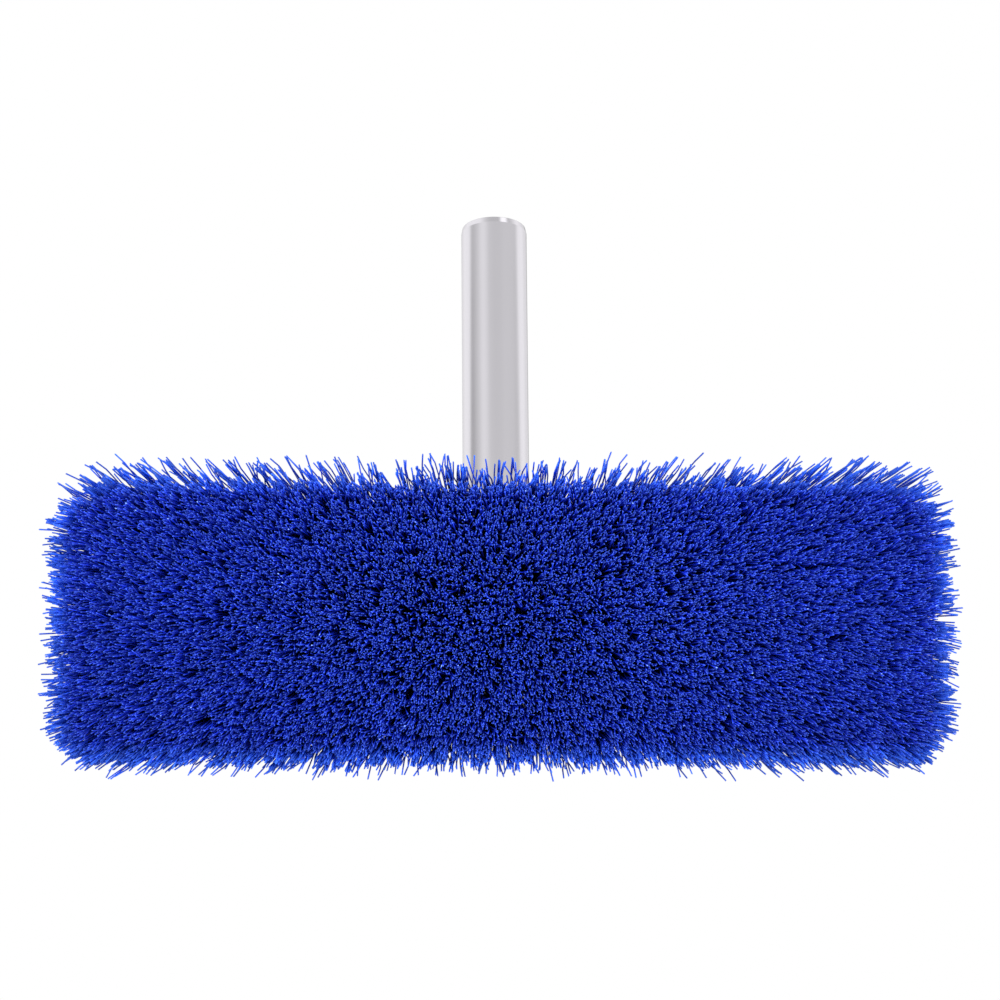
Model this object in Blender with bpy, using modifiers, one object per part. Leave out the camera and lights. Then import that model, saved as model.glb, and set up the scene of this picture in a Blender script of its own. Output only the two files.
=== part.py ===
"""Wash brush head, built from separate pieces at their real size.

A block carries five rows of bristle tufts, which fan out from its middle. A moulded cover closes
the water chamber behind the block, and its angled socket holds an aluminium handle tube.

+X runs along the block, +Y towards the handle and +Z up. The head stands on its trimmed bristles,
with the origin under the middle of its bounding box. The pieces are placed in the block's own
frame, whose zero height is the root face that the bristles leave. All lengths are in metres.
"""

import math

import bmesh
import bpy
from mathutils import Matrix, Vector

# Clearance between neighbouring pieces, and how far a cutter runs past what it cuts
FIT_GAP = 0.0003
CUT_OVERRUN = 0.002
MERGE_DISTANCE = 0.00001

# Block
BLOCK_LENGTH = 0.254
BLOCK_WIDTH = 0.076
BLOCK_THICKNESS = 0.015
BLOCK_CORNER_RADIUS = 0.012
BLOCK_EDGE_ROUND = 0.0015

# Tufts, on a staggered grid that fans out from the middle of the block
TUFT_END_MARGIN = 0.009
TUFT_SIDE_MARGIN = 0.012
FULL_COLUMNS = 17
TUFT_ROWS = 5
FAN_ALONG = math.radians(36)
FAN_ACROSS = math.radians(16)

# Backing strips, one under each row of tufts, side by side in the block's face
STRIP_THICKNESS = 0.004
STRIP_MARGIN = 0.0035

# Strands of one tuft: one on its axis and a ring of others that leans outwards
STRANDS_AROUND = 5
STRAND_RING_RADIUS = 0.0021
STRAND_ROOT_RADIUS = 0.00095
STRAND_TIP_RADIUS = 0.0017
STRAND_LENGTH = 0.066
STRAND_SINK = 0.0015
TUFT_SPREAD = math.radians(4.3)
TUFT_TURN_STEP = math.radians(137.5)

# Height of the root face over the trimmed tips, and how deep the standing strands are cut flat
BRISTLE_HEIGHT = 0.063
FLAT_CUT_DEPTH = 0.0005

# Water outlets between the tufts of the middle row, counted in half columns from the middle
OUTLET_DIAMETER = 0.004
OUTLET_HALF_COLUMNS = (3, 7, 11)

# Gasket between block and cover
GASKET_INSET = 0.0105
GASKET_CORNER_RADIUS = 0.006
GASKET_BAND = 0.003
GASKET_GROOVE_DEPTH = 0.0016

# Cover screws, along both sides and one at each end
SCREW_INSET = 0.0045
SCREW_SIDE_SHARES = (0.28, 0.80)
SCREW_SHANK_DIAMETER = 0.0035
SCREW_HEAD_DIAMETER = 0.0066
SCREW_HEAD_HEIGHT = 0.0024
SCREW_CROWN_SHARE = 0.62
SCREW_LENGTH = 0.0115
SCREW_POINT_LENGTH = 0.002
SCREW_POINT_SHARE = 0.35

# Cover: a flange with a raised chamber
FLANGE_THICKNESS = 0.0035
FLANGE_EDGE_ROUND = 0.001
DOME_END_INSET = 0.014
DOME_SIDE_INSET = 0.011
DOME_CORNER_RADIUS = 0.010
DOME_HEIGHT = 0.0122
DOME_WALL = 0.003
DOME_DRAFT = 0.0015
DOME_EDGE_ROUND = 0.004

# Handle tube
TUBE_DIAMETER = 0.0254
TUBE_WALL = 0.0016
TUBE_LENGTH = 0.160
TUBE_RIM_ROUND = 0.0009
TUBE_RIM_REACH = 0.0022
TUBE_ANGLE = math.radians(20)

# Socket in the cover, measured along its axis from the stop that the tube rests against
SOCKET_EDGE_SETBACK = 0.002
SOCKET_FLOOR = 0.0025
SOCKET_DEPTH = 0.030
SOCKET_WALL = 0.0028
SOCKET_STOP_WIDTH = 0.0025
SOCKET_STOP_THICKNESS = 0.0027
COLLAR_WIDTH = 0.004
COLLAR_HEIGHT = 0.002
COLLAR_SETBACK = 0.0003

# Tapered back of the socket, which runs down into the dome and is hollow for the water
BACK_INSET = 0.0065
BACK_SINK = 0.001
BACK_SETBACK = 0.0003
BACK_HOLLOW_LENGTH_SHARE = 0.8
BACK_HOLLOW_END_SHARE = 0.6

# O-rings in the socket
O_RING_GROOVE_DEPTH = 0.0022
O_RING_GROOVE_WIDTH = 0.003
O_RING_FIRST = 0.005
O_RING_PITCH = 0.0055
O_RING_COUNT = 2

# Screw that holds the tube, in a boss on top of the socket
TUBE_SCREW_FROM_MOUTH = 0.010
TUBE_SCREW_REACH = 0.0012
BOSS_RADIUS = 0.0048
BOSS_HEIGHT = 0.0015

# Stiffening ribs on the cover
RIB_THICKNESS = 0.004
RIB_FOOT = 0.001
SIDE_RIB_REACH = 0.062
SIDE_RIB_HEIGHT = 0.011
SIDE_RIB_TOE = 0.001
SIDE_RIB_OFFSET = 0.006
FLANGE_RIB_THICKNESS = 0.0025
FLANGE_RIB_SHARES = (0.10, 0.45, 0.63)
FLANGE_RIB_HEIGHT_SHARE = 0.62
FLANGE_RIB_REACH_SHARE = 0.72
MOUTH_WEB_REACH_SHARE = 0.75

# Facets of the round shapes
CORNER_SEGMENTS = 5
EDGE_SEGMENTS = 2
DOME_EDGE_SEGMENTS = 3
SOCKET_SIDES = 32
TUBE_RIM_SEGMENTS = 3
STRAND_SIDES = 3
SMALL_HOLE_SIDES = 10
BOSS_SIDES = 16
O_RING_STEPS = 24
O_RING_SIDES = 6
SMOOTH_ANGLE = math.radians(35)

# Colours, as linear red, green and blue
WHITE_PLASTIC = (0.80, 0.80, 0.79)
WHITE_COVER = (0.76, 0.76, 0.75)
BRISTLE_BLUE = (0.014, 0.062, 0.52)
POLISHED_ALUMINIUM = (0.72, 0.71, 0.73)
DARK_RUBBER = (0.02, 0.02, 0.022)
STEEL = (0.55, 0.55, 0.56)

# Places worked out from the sizes above
HALF_FIELD_LENGTH = BLOCK_LENGTH / 2 - TUFT_END_MARGIN
HALF_FIELD_WIDTH = BLOCK_WIDTH / 2 - TUFT_SIDE_MARGIN
HALF_COLUMN_PITCH = HALF_FIELD_LENGTH / (FULL_COLUMNS - 1)
ROW_PITCH = 2 * HALF_FIELD_WIDTH / (TUFT_ROWS - 1)
POCKET_LENGTH = BLOCK_LENGTH - 2 * STRIP_MARGIN
POCKET_WIDTH = BLOCK_WIDTH - 2 * STRIP_MARGIN
POCKET_RADIUS = BLOCK_CORNER_RADIUS - STRIP_MARGIN
COVER_UNDERSIDE = BLOCK_THICKNESS + FIT_GAP
FLANGE_TOP = COVER_UNDERSIDE + FLANGE_THICKNESS
DOME_TOP = FLANGE_TOP + DOME_HEIGHT
DOME_LENGTH = BLOCK_LENGTH - 2 * DOME_END_INSET
DOME_WIDTH = BLOCK_WIDTH - 2 * DOME_SIDE_INSET
TUBE_RADIUS = TUBE_DIAMETER / 2
SOCKET_BORE_RADIUS = TUBE_RADIUS + FIT_GAP
O_RING_GROOVE_RADIUS = SOCKET_BORE_RADIUS + O_RING_GROOVE_DEPTH
SOCKET_RADIUS = O_RING_GROOVE_RADIUS + SOCKET_WALL
COLLAR_RADIUS = SOCKET_RADIUS + COLLAR_HEIGHT
MOUTH_REACH = SOCKET_DEPTH * math.cos(TUBE_ANGLE) + COLLAR_RADIUS * math.sin(TUBE_ANGLE)
SOCKET_STOP_OFFSET = BLOCK_WIDTH / 2 - SOCKET_EDGE_SETBACK - MOUTH_REACH
SOCKET_STOP_HEIGHT = COVER_UNDERSIDE + SOCKET_FLOOR + SOCKET_BORE_RADIUS * math.cos(TUBE_ANGLE)
BACK_LENGTH = (DOME_WIDTH / 2 - BACK_INSET + SOCKET_STOP_OFFSET) / math.cos(TUBE_ANGLE)
BACK_END_HEIGHT = SOCKET_STOP_HEIGHT - BACK_LENGTH * math.sin(TUBE_ANGLE)
BACK_END_RADIUS = (DOME_TOP - BACK_SINK - BACK_END_HEIGHT) / math.cos(TUBE_ANGLE)
SCREW_HOLE_RADIUS = SCREW_SHANK_DIAMETER / 2 + FIT_GAP
TUBE_SCREW_PLACE = SOCKET_DEPTH - TUBE_SCREW_FROM_MOUTH
BOSS_TOP = SOCKET_RADIUS + BOSS_HEIGHT


def clear_scene():
    for obj in list(bpy.data.objects):
        bpy.data.objects.remove(obj, do_unlink=True)


def make_collection(name):
    collection = bpy.data.collections.new(name)
    bpy.context.scene.collection.children.link(collection)
    return collection


def make_empty(name, parent, location, rotation):
    empty = bpy.data.objects.new(name, None)
    PARTS.objects.link(empty)
    empty.parent = parent
    empty.location = location
    empty.rotation_euler = rotation
    return empty


def make_object(name, mesh, collection, parent):
    obj = bpy.data.objects.new(name, mesh)
    collection.objects.link(obj)
    obj.parent = parent
    return obj


def mesh_from(name, bm):
    """Turns a finished bmesh into a mesh, with its faces pointing outwards."""
    bmesh.ops.recalc_face_normals(bm, faces=bm.faces)
    mesh = bpy.data.meshes.new(name)
    bm.to_mesh(mesh)
    bm.free()
    return mesh


def make_part(name, bm, parent):
    return make_object(name, mesh_from(name, bm), PARTS, parent)


def make_cutter(name, bm, parent):
    """A shape that only cuts or joins others: it is never rendered."""
    return hide_as_cutter(make_object(name, mesh_from(name, bm), CUTTERS, parent))


def hide_as_cutter(obj):
    obj.hide_render = True
    obj.display_type = "WIRE"
    return obj


def combine(target, tool, operation):
    modifier = target.modifiers.new(f"{operation.lower()}_{tool.name}", "BOOLEAN")
    modifier.operation = operation
    modifier.object = tool
    modifier.solver = "EXACT"


def make_material(name, colour, roughness, metallic):
    material = bpy.data.materials.new(name)
    material.use_nodes = True
    shader = material.node_tree.nodes["Principled BSDF"]
    shader.inputs["Base Color"].default_value = (*colour, 1.0)
    shader.inputs["Roughness"].default_value = roughness
    shader.inputs["Metallic"].default_value = metallic
    material.diffuse_color = (*colour, 1.0)
    return material


def edges_at_height(bm, height):
    return [
        edge
        for edge in bm.edges
        if all(abs(vertex.co.z - height) < MERGE_DISTANCE for vertex in edge.verts)
    ]


def round_edges(bm, edges, radius, segments):
    bmesh.ops.bevel(
        bm, geom=edges, offset=radius, segments=segments, profile=0.5, affect="EDGES", clamp_overlap=True
    )


def rounded_slab(length, width, low, high, corner_radius, draft=0.0):
    """A box with rounded upright corners, drawn in by the draft at its top."""
    bm = bmesh.new()
    size = Matrix.Diagonal((length, width, high - low, 1.0))
    bmesh.ops.create_cube(bm, size=1.0, matrix=Matrix.Translation((0, 0, (low + high) / 2)) @ size)
    upright = [edge for edge in bm.edges if abs(edge.verts[0].co.z - edge.verts[1].co.z) > MERGE_DISTANCE]
    round_edges(bm, upright, corner_radius, CORNER_SEGMENTS)
    top = [vertex for vertex in bm.verts if vertex.co.z > (low + high) / 2]
    bmesh.ops.scale(bm, vec=(1 - 2 * draft / length, 1 - 2 * draft / width, 1), verts=top)
    return bm


def rounded_ring(length, width, low, high, corner_radius, band):
    """A flat ring of rectangular section, whose middle line is a rounded rectangle."""
    bm = rounded_slab(length + band, width + band, low, high, corner_radius + band / 2)
    caps = [face for face in bm.faces if abs(face.normal.z) > 0.5]
    bmesh.ops.inset_region(bm, faces=caps, thickness=band, use_even_offset=True)
    rims = [edge for face in caps for edge in face.edges]
    bmesh.ops.delete(bm, geom=caps, context="FACES_ONLY")
    bmesh.ops.bridge_loops(bm, edges=rims)
    return bm


def frame_along(origin, direction):
    """A frame at the origin given, whose local Z runs along the direction."""
    along = direction.normalized()
    side = Vector((0, 1, 0)).cross(along).normalized()
    turn = Matrix((side, along.cross(side), along)).transposed()
    return Matrix.Translation(origin) @ turn.to_4x4()


def add_rod(bm, frame, start, end, start_radius, end_radius, sides):
    """A round bar or a cone along the frame's local Z."""
    bmesh.ops.create_cone(
        bm,
        cap_ends=True,
        segments=sides,
        radius1=start_radius,
        radius2=end_radius,
        depth=end - start,
        matrix=frame @ Matrix.Translation((0, 0, (start + end) / 2)),
    )


def add_plate(bm, outline, frame, thickness):
    """A flat plate: its outline lies in the frame's local X and Y, centred on its thickness."""
    corners = [bm.verts.new(frame @ Vector((u, v, -thickness / 2))) for u, v in outline]
    face = bm.faces.new(corners)
    far_side = bmesh.ops.extrude_face_region(bm, geom=[face])["geom"]
    moved = [element for element in far_side if isinstance(element, bmesh.types.BMVert)]
    bmesh.ops.translate(bm, vec=frame.to_3x3() @ Vector((0, 0, thickness)), verts=moved)


def add_screw_modifier(obj, steps):
    modifier = obj.modifiers.new("turn", "SCREW")
    modifier.axis = "Z"
    modifier.angle = 2 * math.pi
    modifier.steps = steps
    modifier.render_steps = steps
    modifier.use_merge_vertices = True
    modifier.merge_threshold = MERGE_DISTANCE


def profile_mesh(name, profiles, closed):
    """Profiles in the XZ plane, each run down its outer side, for a Screw modifier to turn."""
    mesh = bpy.data.meshes.new(name)
    points = []
    edges = []
    for profile in profiles:
        first = len(points)
        points += [(radius, 0, height) for radius, height in profile]
        edges += [(index, index + 1) for index in range(first, len(points) - 1)]
        if closed:
            edges.append((len(points) - 1, first))
    mesh.from_pydata(points, edges, [])
    return mesh


def arc(centre, radius, start, end, segments):
    """Points of an arc in a profile, from one angle to another."""
    angles = [start + (end - start) * step / segments for step in range(segments + 1)]
    return [(centre[0] + radius * math.cos(a), centre[1] + radius * math.sin(a)) for a in angles]


def smooth(mesh):
    mesh.shade_smooth()
    mesh.set_sharp_from_angle(angle=SMOOTH_ANGLE)


def tuft_row(row):
    """The places of one row's tufts along +X, staggered by half a column from its neighbours."""
    middle = FULL_COLUMNS - 1
    y = row * ROW_PITCH - HALF_FIELD_WIDTH
    columns = range(row % 2, 2 * FULL_COLUMNS - 1, 2)
    return [((column - middle) * HALF_COLUMN_PITCH, y, column - middle) for column in columns]


def fan_frame(x, y):
    """The frame of a tuft at this place of the root face, with local Z along its lean."""
    lean_along = FAN_ALONG * x / HALF_FIELD_LENGTH
    lean_across = FAN_ACROSS * y / HALF_FIELD_WIDTH
    direction = Vector((math.tan(lean_along), math.tan(lean_across), -1))
    return frame_along(Vector((x, y, 0)), direction)


def tuft_turn(from_middle, row):
    """How far a tuft's ring of strands is turned, mirrored on both sides of the middle."""
    turn = TUFT_TURN_STEP * (abs(from_middle) * TUFT_ROWS + row)
    if from_middle == 0:
        return math.pi / 2
    return turn if from_middle > 0 else math.pi - turn


def add_strand(bm, point, direction):
    """A tapered strand, rooted where its line meets the root face.

    It ends at its full length, or just under the floor where it would reach that first.
    """
    root = point - direction * (point.z / direction.z)
    floor = -BRISTLE_HEIGHT - FLAT_CUT_DEPTH
    length = min(STRAND_LENGTH, floor / direction.z)
    frame = frame_along(root, direction)
    add_rod(bm, frame, -STRAND_SINK, length, STRAND_ROOT_RADIUS, STRAND_TIP_RADIUS, STRAND_SIDES)


def add_tuft(bm, frame, turn):
    """One strand on the tuft's axis, and a ring of others that leans outwards from it."""
    axis = Vector((0, 0, 1))
    add_strand(bm, frame.translation.copy(), frame.to_3x3() @ axis)
    for index in range(STRANDS_AROUND):
        angle = turn + 2 * math.pi * index / STRANDS_AROUND
        outwards = Vector((math.cos(angle), math.sin(angle), 0))
        lean = outwards * math.sin(TUFT_SPREAD) + axis * math.cos(TUFT_SPREAD)
        add_strand(bm, frame @ (outwards * STRAND_RING_RADIUS), frame.to_3x3() @ lean)


def cut_off(bm, point, normal):
    """Removes what lies beyond a plane and closes the cut."""
    geometry = bm.verts[:] + bm.edges[:] + bm.faces[:]
    cut = bmesh.ops.bisect_plane(bm, geom=geometry, plane_co=point, plane_no=normal, clear_outer=True)
    rim = [element for element in cut["geom_cut"] if isinstance(element, bmesh.types.BMEdge)]
    bmesh.ops.edgeloop_fill(bm, edges=rim)


def backing_strip(row):
    """One row's slice of the block's face, cut from a slab that fills the pocket."""
    length = POCKET_LENGTH - 2 * FIT_GAP
    width = POCKET_WIDTH - 2 * FIT_GAP
    bm = rounded_slab(length, width, 0, STRIP_THICKNESS, POCKET_RADIUS - FIT_GAP)
    y = row * ROW_PITCH - HALF_FIELD_WIDTH
    edge = (ROW_PITCH - FIT_GAP) / 2
    if row > 0:
        cut_off(bm, (0, y - edge, 0), (0, -1, 0))
    if row < TUFT_ROWS - 1:
        cut_off(bm, (0, y + edge, 0), (0, 1, 0))
    return bm


def build_tuft_rows(head, outlets):
    """The rows of tufts: each is a strip of backing with its strands fused to it."""
    floor = floor_cutter(head)
    parts = []
    for row in range(TUFT_ROWS):
        strands = bmesh.new()
        for x, y, from_middle in tuft_row(row):
            add_tuft(strands, fan_frame(x, y), tuft_turn(from_middle, row))
        part = make_part(f"tuft_row_{row + 1}", backing_strip(row), head)
        combine(part, make_cutter(f"strands_{row + 1}", strands, head), "UNION")
        combine(part, floor, "DIFFERENCE")
        if row == TUFT_ROWS // 2:
            combine(part, outlets, "DIFFERENCE")
        parts.append(part)
    return parts


def outlet_cutter(head):
    """Water outlets through the block and the middle strip, which follow the fan of the tufts."""
    bm = bmesh.new()
    radius = OUTLET_DIAMETER / 2
    for half_columns in OUTLET_HALF_COLUMNS:
        for x in (-half_columns * HALF_COLUMN_PITCH, half_columns * HALF_COLUMN_PITCH):
            frame = fan_frame(x, 0)
            slant = -1 / frame.to_3x3().col[2].z
            top = (BLOCK_THICKNESS + CUT_OVERRUN) * slant
            add_rod(bm, frame, -top, 2 * CUT_OVERRUN, radius, radius, SMALL_HOLE_SIDES)
    return make_cutter("water_outlets", bm, head)


def screw_places():
    side = BLOCK_WIDTH / 2 - SCREW_INSET
    end = BLOCK_LENGTH / 2 - SCREW_INSET
    places = [(end, 0), (-end, 0)]
    for share in SCREW_SIDE_SHARES:
        along = share * BLOCK_LENGTH / 2
        places += [(along, side), (-along, side), (along, -side), (-along, -side)]
    return places


def screw_hole_cutter(name, low, high, head):
    """Round holes at the places of all the screws."""
    bm = bmesh.new()
    for x, y in screw_places():
        frame = Matrix.Translation((x, y, 0))
        add_rod(bm, frame, low, high, SCREW_HOLE_RADIUS, SCREW_HOLE_RADIUS, SMALL_HOLE_SIDES)
    return make_cutter(name, bm, head)


def build_block(head, outlets):
    """The block, with a pocket for the strips, a groove for the gasket and holes for the screws."""
    bm = rounded_slab(BLOCK_LENGTH, BLOCK_WIDTH, 0, BLOCK_THICKNESS, BLOCK_CORNER_RADIUS)
    rims = edges_at_height(bm, 0) + edges_at_height(bm, BLOCK_THICKNESS)
    round_edges(bm, rims, BLOCK_EDGE_ROUND, EDGE_SEGMENTS)
    block = make_part("bristle_block", bm, head)

    pocket_top = STRIP_THICKNESS + FIT_GAP
    pocket = rounded_slab(POCKET_LENGTH, POCKET_WIDTH, -CUT_OVERRUN, pocket_top, POCKET_RADIUS)
    top = BLOCK_THICKNESS + CUT_OVERRUN
    groove = gasket_ring(BLOCK_THICKNESS - GASKET_GROOVE_DEPTH, top, GASKET_BAND + 2 * FIT_GAP)
    cutters = [
        make_cutter("strip_pocket", pocket, head),
        screw_hole_cutter("screw_pilots", FLANGE_TOP - SCREW_LENGTH, top, head),
        make_cutter("gasket_groove", groove, head),
        outlets,
    ]
    for tool in cutters:
        combine(block, tool, "DIFFERENCE")
    return block


def gasket_ring(low, high, band):
    length = BLOCK_LENGTH - 2 * GASKET_INSET
    width = BLOCK_WIDTH - 2 * GASKET_INSET
    return rounded_ring(length, width, low, high, GASKET_CORNER_RADIUS, band)


def build_gasket(head):
    low = BLOCK_THICKNESS - GASKET_GROOVE_DEPTH + FIT_GAP
    bm = gasket_ring(low, BLOCK_THICKNESS, GASKET_BAND)
    return make_part("cover_gasket", bm, head)


def screw_profile(length):
    """Half the outline of a pan-head screw, from its crown down to its point."""
    head_radius = SCREW_HEAD_DIAMETER / 2
    shank_radius = SCREW_SHANK_DIAMETER / 2
    return [
        (0, SCREW_HEAD_HEIGHT),
        (head_radius * SCREW_CROWN_SHARE, SCREW_HEAD_HEIGHT),
        (head_radius, SCREW_HEAD_HEIGHT * (1 - SCREW_CROWN_SHARE)),
        (head_radius, 0),
        (shank_radius, 0),
        (shank_radius, SCREW_POINT_LENGTH - length),
        (shank_radius * SCREW_POINT_SHARE, -length),
        (0, -length),
    ]


def build_screws(head):
    """The cover's screws, whose heads rest on the flange."""
    mesh = profile_mesh("cover_screw", [screw_profile(SCREW_LENGTH)], closed=False)
    screws = []
    for number, (x, y) in enumerate(screw_places(), start=1):
        screw = make_object(f"cover_screw_{number:02d}", mesh, PARTS, head)
        screw.location = (x, y, FLANGE_TOP + FIT_GAP)
        add_screw_modifier(screw, SMALL_HOLE_SIDES)
        screws.append(screw)
    return screws


def socket_rod(name, start, end, radius, sides, socket):
    bm = bmesh.new()
    add_rod(bm, Matrix.Identity(4), start, end, radius, radius, sides)
    return make_cutter(name, bm, socket)


def dome_shape():
    bm = rounded_slab(DOME_LENGTH, DOME_WIDTH, COVER_UNDERSIDE, DOME_TOP, DOME_CORNER_RADIUS, DOME_DRAFT)
    round_edges(bm, edges_at_height(bm, DOME_TOP), DOME_EDGE_ROUND, DOME_EDGE_SEGMENTS)
    return bm


def side_rib_shape():
    """Two tapered ribs that run from the socket along the top of the dome."""
    foot = DOME_TOP - RIB_FOOT
    outline = [
        (-SIDE_RIB_REACH, foot),
        (SIDE_RIB_REACH, foot),
        (SIDE_RIB_REACH, DOME_TOP + SIDE_RIB_TOE),
        (SOCKET_RADIUS / 2, DOME_TOP + SIDE_RIB_HEIGHT),
        (-SOCKET_RADIUS / 2, DOME_TOP + SIDE_RIB_HEIGHT),
        (-SIDE_RIB_REACH, DOME_TOP + SIDE_RIB_TOE),
    ]
    bm = bmesh.new()
    standing = Matrix.Translation((0, SIDE_RIB_OFFSET, 0)) @ Matrix.Rotation(math.pi / 2, 4, "X")
    add_plate(bm, outline, standing, RIB_THICKNESS)
    return bm


def mouth_web_shape():
    """The web that carries the socket's mouth over the flange."""
    foot = FLANGE_TOP - RIB_FOOT
    wall = DOME_WIDTH / 2 - DOME_WALL
    reach = DOME_WIDTH / 2 + MOUTH_WEB_REACH_SHARE * DOME_SIDE_INSET
    along = SOCKET_DEPTH - COLLAR_WIDTH
    axis_y = SOCKET_STOP_OFFSET + along * math.cos(TUBE_ANGLE)
    axis_z = SOCKET_STOP_HEIGHT + along * math.sin(TUBE_ANGLE)
    outline = [(wall, foot), (reach, foot), (axis_y, axis_z), (SOCKET_STOP_OFFSET, SOCKET_STOP_HEIGHT)]
    bm = bmesh.new()
    add_plate(bm, outline, across_frame(0), RIB_THICKNESS)
    return bm


def across_frame(x):
    """A frame at this place along the block, with its local X along +Y and its local Y up."""
    return Matrix(((0, 0, 1, x), (1, 0, 0, 0), (0, 1, 0, 0), (0, 0, 0, 1)))


def flange_rib_shape():
    """Small triangular ribs between the dome's sides and the flange."""
    foot = FLANGE_TOP - RIB_FOOT
    wall = DOME_WIDTH / 2 - DOME_WALL + DOME_DRAFT / 2
    edge = DOME_WIDTH / 2 + FLANGE_RIB_REACH_SHARE * DOME_SIDE_INSET
    top = FLANGE_TOP + FLANGE_RIB_HEIGHT_SHARE * DOME_HEIGHT
    bm = bmesh.new()
    for share in FLANGE_RIB_SHARES:
        for x in (-share * BLOCK_LENGTH / 2, share * BLOCK_LENGTH / 2):
            for side in (-1, 1):
                corners = [(wall, foot), (edge, foot), (edge, FLANGE_TOP), (wall, top)]
                outline = [(side * y, z) for y, z in corners]
                add_plate(bm, outline, across_frame(x), FLANGE_RIB_THICKNESS)
    return bm


def socket_taper(name, start, end, start_radius, end_radius, socket):
    bm = bmesh.new()
    add_rod(bm, Matrix.Identity(4), start, end, start_radius, end_radius, SOCKET_SIDES)
    return make_cutter(name, bm, socket)


def chamber_cutter(head, socket):
    """The water chamber and the hollow of the tapered back, with the socket's wall left standing."""
    length = DOME_LENGTH - 2 * DOME_WALL
    width = DOME_WIDTH - 2 * DOME_WALL
    radius = DOME_CORNER_RADIUS - DOME_WALL
    bm = rounded_slab(length, width, COVER_UNDERSIDE - CUT_OVERRUN, DOME_TOP - DOME_WALL, radius)
    chamber = make_cutter("chamber", bm, head)
    low = -BACK_LENGTH * BACK_HOLLOW_LENGTH_SHARE
    low_radius = BACK_END_RADIUS * BACK_HOLLOW_END_SHARE
    hollow = socket_taper("back_hollow", low, 0, low_radius, SOCKET_RADIUS - DOME_WALL, socket)
    wall_start = -SOCKET_STOP_THICKNESS
    keep = socket_rod("socket_in_chamber", wall_start, SOCKET_DEPTH, SOCKET_RADIUS, SOCKET_SIDES, socket)
    combine(chamber, hollow, "UNION")
    combine(chamber, keep, "DIFFERENCE")
    return chamber


def underside_cutter(head):
    """Everything below the cover's flat underside."""
    bm = bmesh.new()
    size = Matrix.Diagonal((2 * BLOCK_LENGTH, 2 * BLOCK_WIDTH, BLOCK_WIDTH, 1.0))
    place = Matrix.Translation((0, 0, COVER_UNDERSIDE - BLOCK_WIDTH / 2))
    bmesh.ops.create_cube(bm, size=1.0, matrix=place @ size)
    return make_cutter("underside", bm, head)


def tube_screw_rod(name, start, end, radius, sides, socket):
    """A rod on the tube screw's axis, measured outwards from the middle of the socket."""
    bm = bmesh.new()
    frame = Matrix.Translation((0, 0, TUBE_SCREW_PLACE)) @ Matrix.Rotation(math.pi / 2, 4, "X")
    add_rod(bm, frame, start, end, radius, radius, sides)
    return make_cutter(name, bm, socket)


def build_cover(head, socket, tube_screw_hole):
    low = COVER_UNDERSIDE - CUT_OVERRUN
    bm = rounded_slab(BLOCK_LENGTH, BLOCK_WIDTH, low, FLANGE_TOP, BLOCK_CORNER_RADIUS)
    round_edges(bm, edges_at_height(bm, FLANGE_TOP), FLANGE_EDGE_ROUND, EDGE_SEGMENTS)
    cover = make_part("back_cover", bm, head)

    collar_start = SOCKET_DEPTH - COLLAR_WIDTH
    collar_end = SOCKET_DEPTH - COLLAR_SETBACK
    wall_start = -SOCKET_STOP_THICKNESS
    back_radius = SOCKET_RADIUS - BACK_SETBACK
    additions = [
        make_cutter("dome", dome_shape(), head),
        socket_rod("socket_wall", wall_start, SOCKET_DEPTH, SOCKET_RADIUS, SOCKET_SIDES, socket),
        socket_taper("socket_back", -BACK_LENGTH, 0, BACK_END_RADIUS, back_radius, socket),
        tube_screw_rod("boss", O_RING_GROOVE_RADIUS, BOSS_TOP, BOSS_RADIUS, BOSS_SIDES, socket),
        make_cutter("side_ribs", side_rib_shape(), head),
        make_cutter("flange_ribs", flange_rib_shape(), head),
        make_cutter("mouth_web", mouth_web_shape(), head),
        socket_rod("socket_collar", collar_start, collar_end, COLLAR_RADIUS, SOCKET_SIDES, socket),
    ]
    for tool in additions:
        combine(cover, tool, "UNION")

    passage_radius = SOCKET_BORE_RADIUS - SOCKET_STOP_WIDTH
    passage_start = -SOCKET_STOP_THICKNESS - CUT_OVERRUN
    mouth = SOCKET_DEPTH + CUT_OVERRUN
    above_flange = FLANGE_TOP + CUT_OVERRUN
    removals = [
        underside_cutter(head),
        chamber_cutter(head, socket),
        socket_rod("socket_bore", 0, mouth, SOCKET_BORE_RADIUS, SOCKET_SIDES, socket),
        socket_rod("water_passage", passage_start, CUT_OVERRUN, passage_radius, SOCKET_SIDES, socket),
        tube_screw_hole,
        screw_hole_cutter("flange_screw_holes", low, above_flange, head),
    ]
    for index in range(O_RING_COUNT):
        middle = O_RING_FIRST + index * O_RING_PITCH
        start = middle - O_RING_GROOVE_WIDTH / 2
        end = middle + O_RING_GROOVE_WIDTH / 2
        name = f"o_ring_groove_{index + 1}"
        removals.append(socket_rod(name, start, end, O_RING_GROOVE_RADIUS, SOCKET_SIDES, socket))
    for tool in removals:
        combine(cover, tool, "DIFFERENCE")
    return cover


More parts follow.
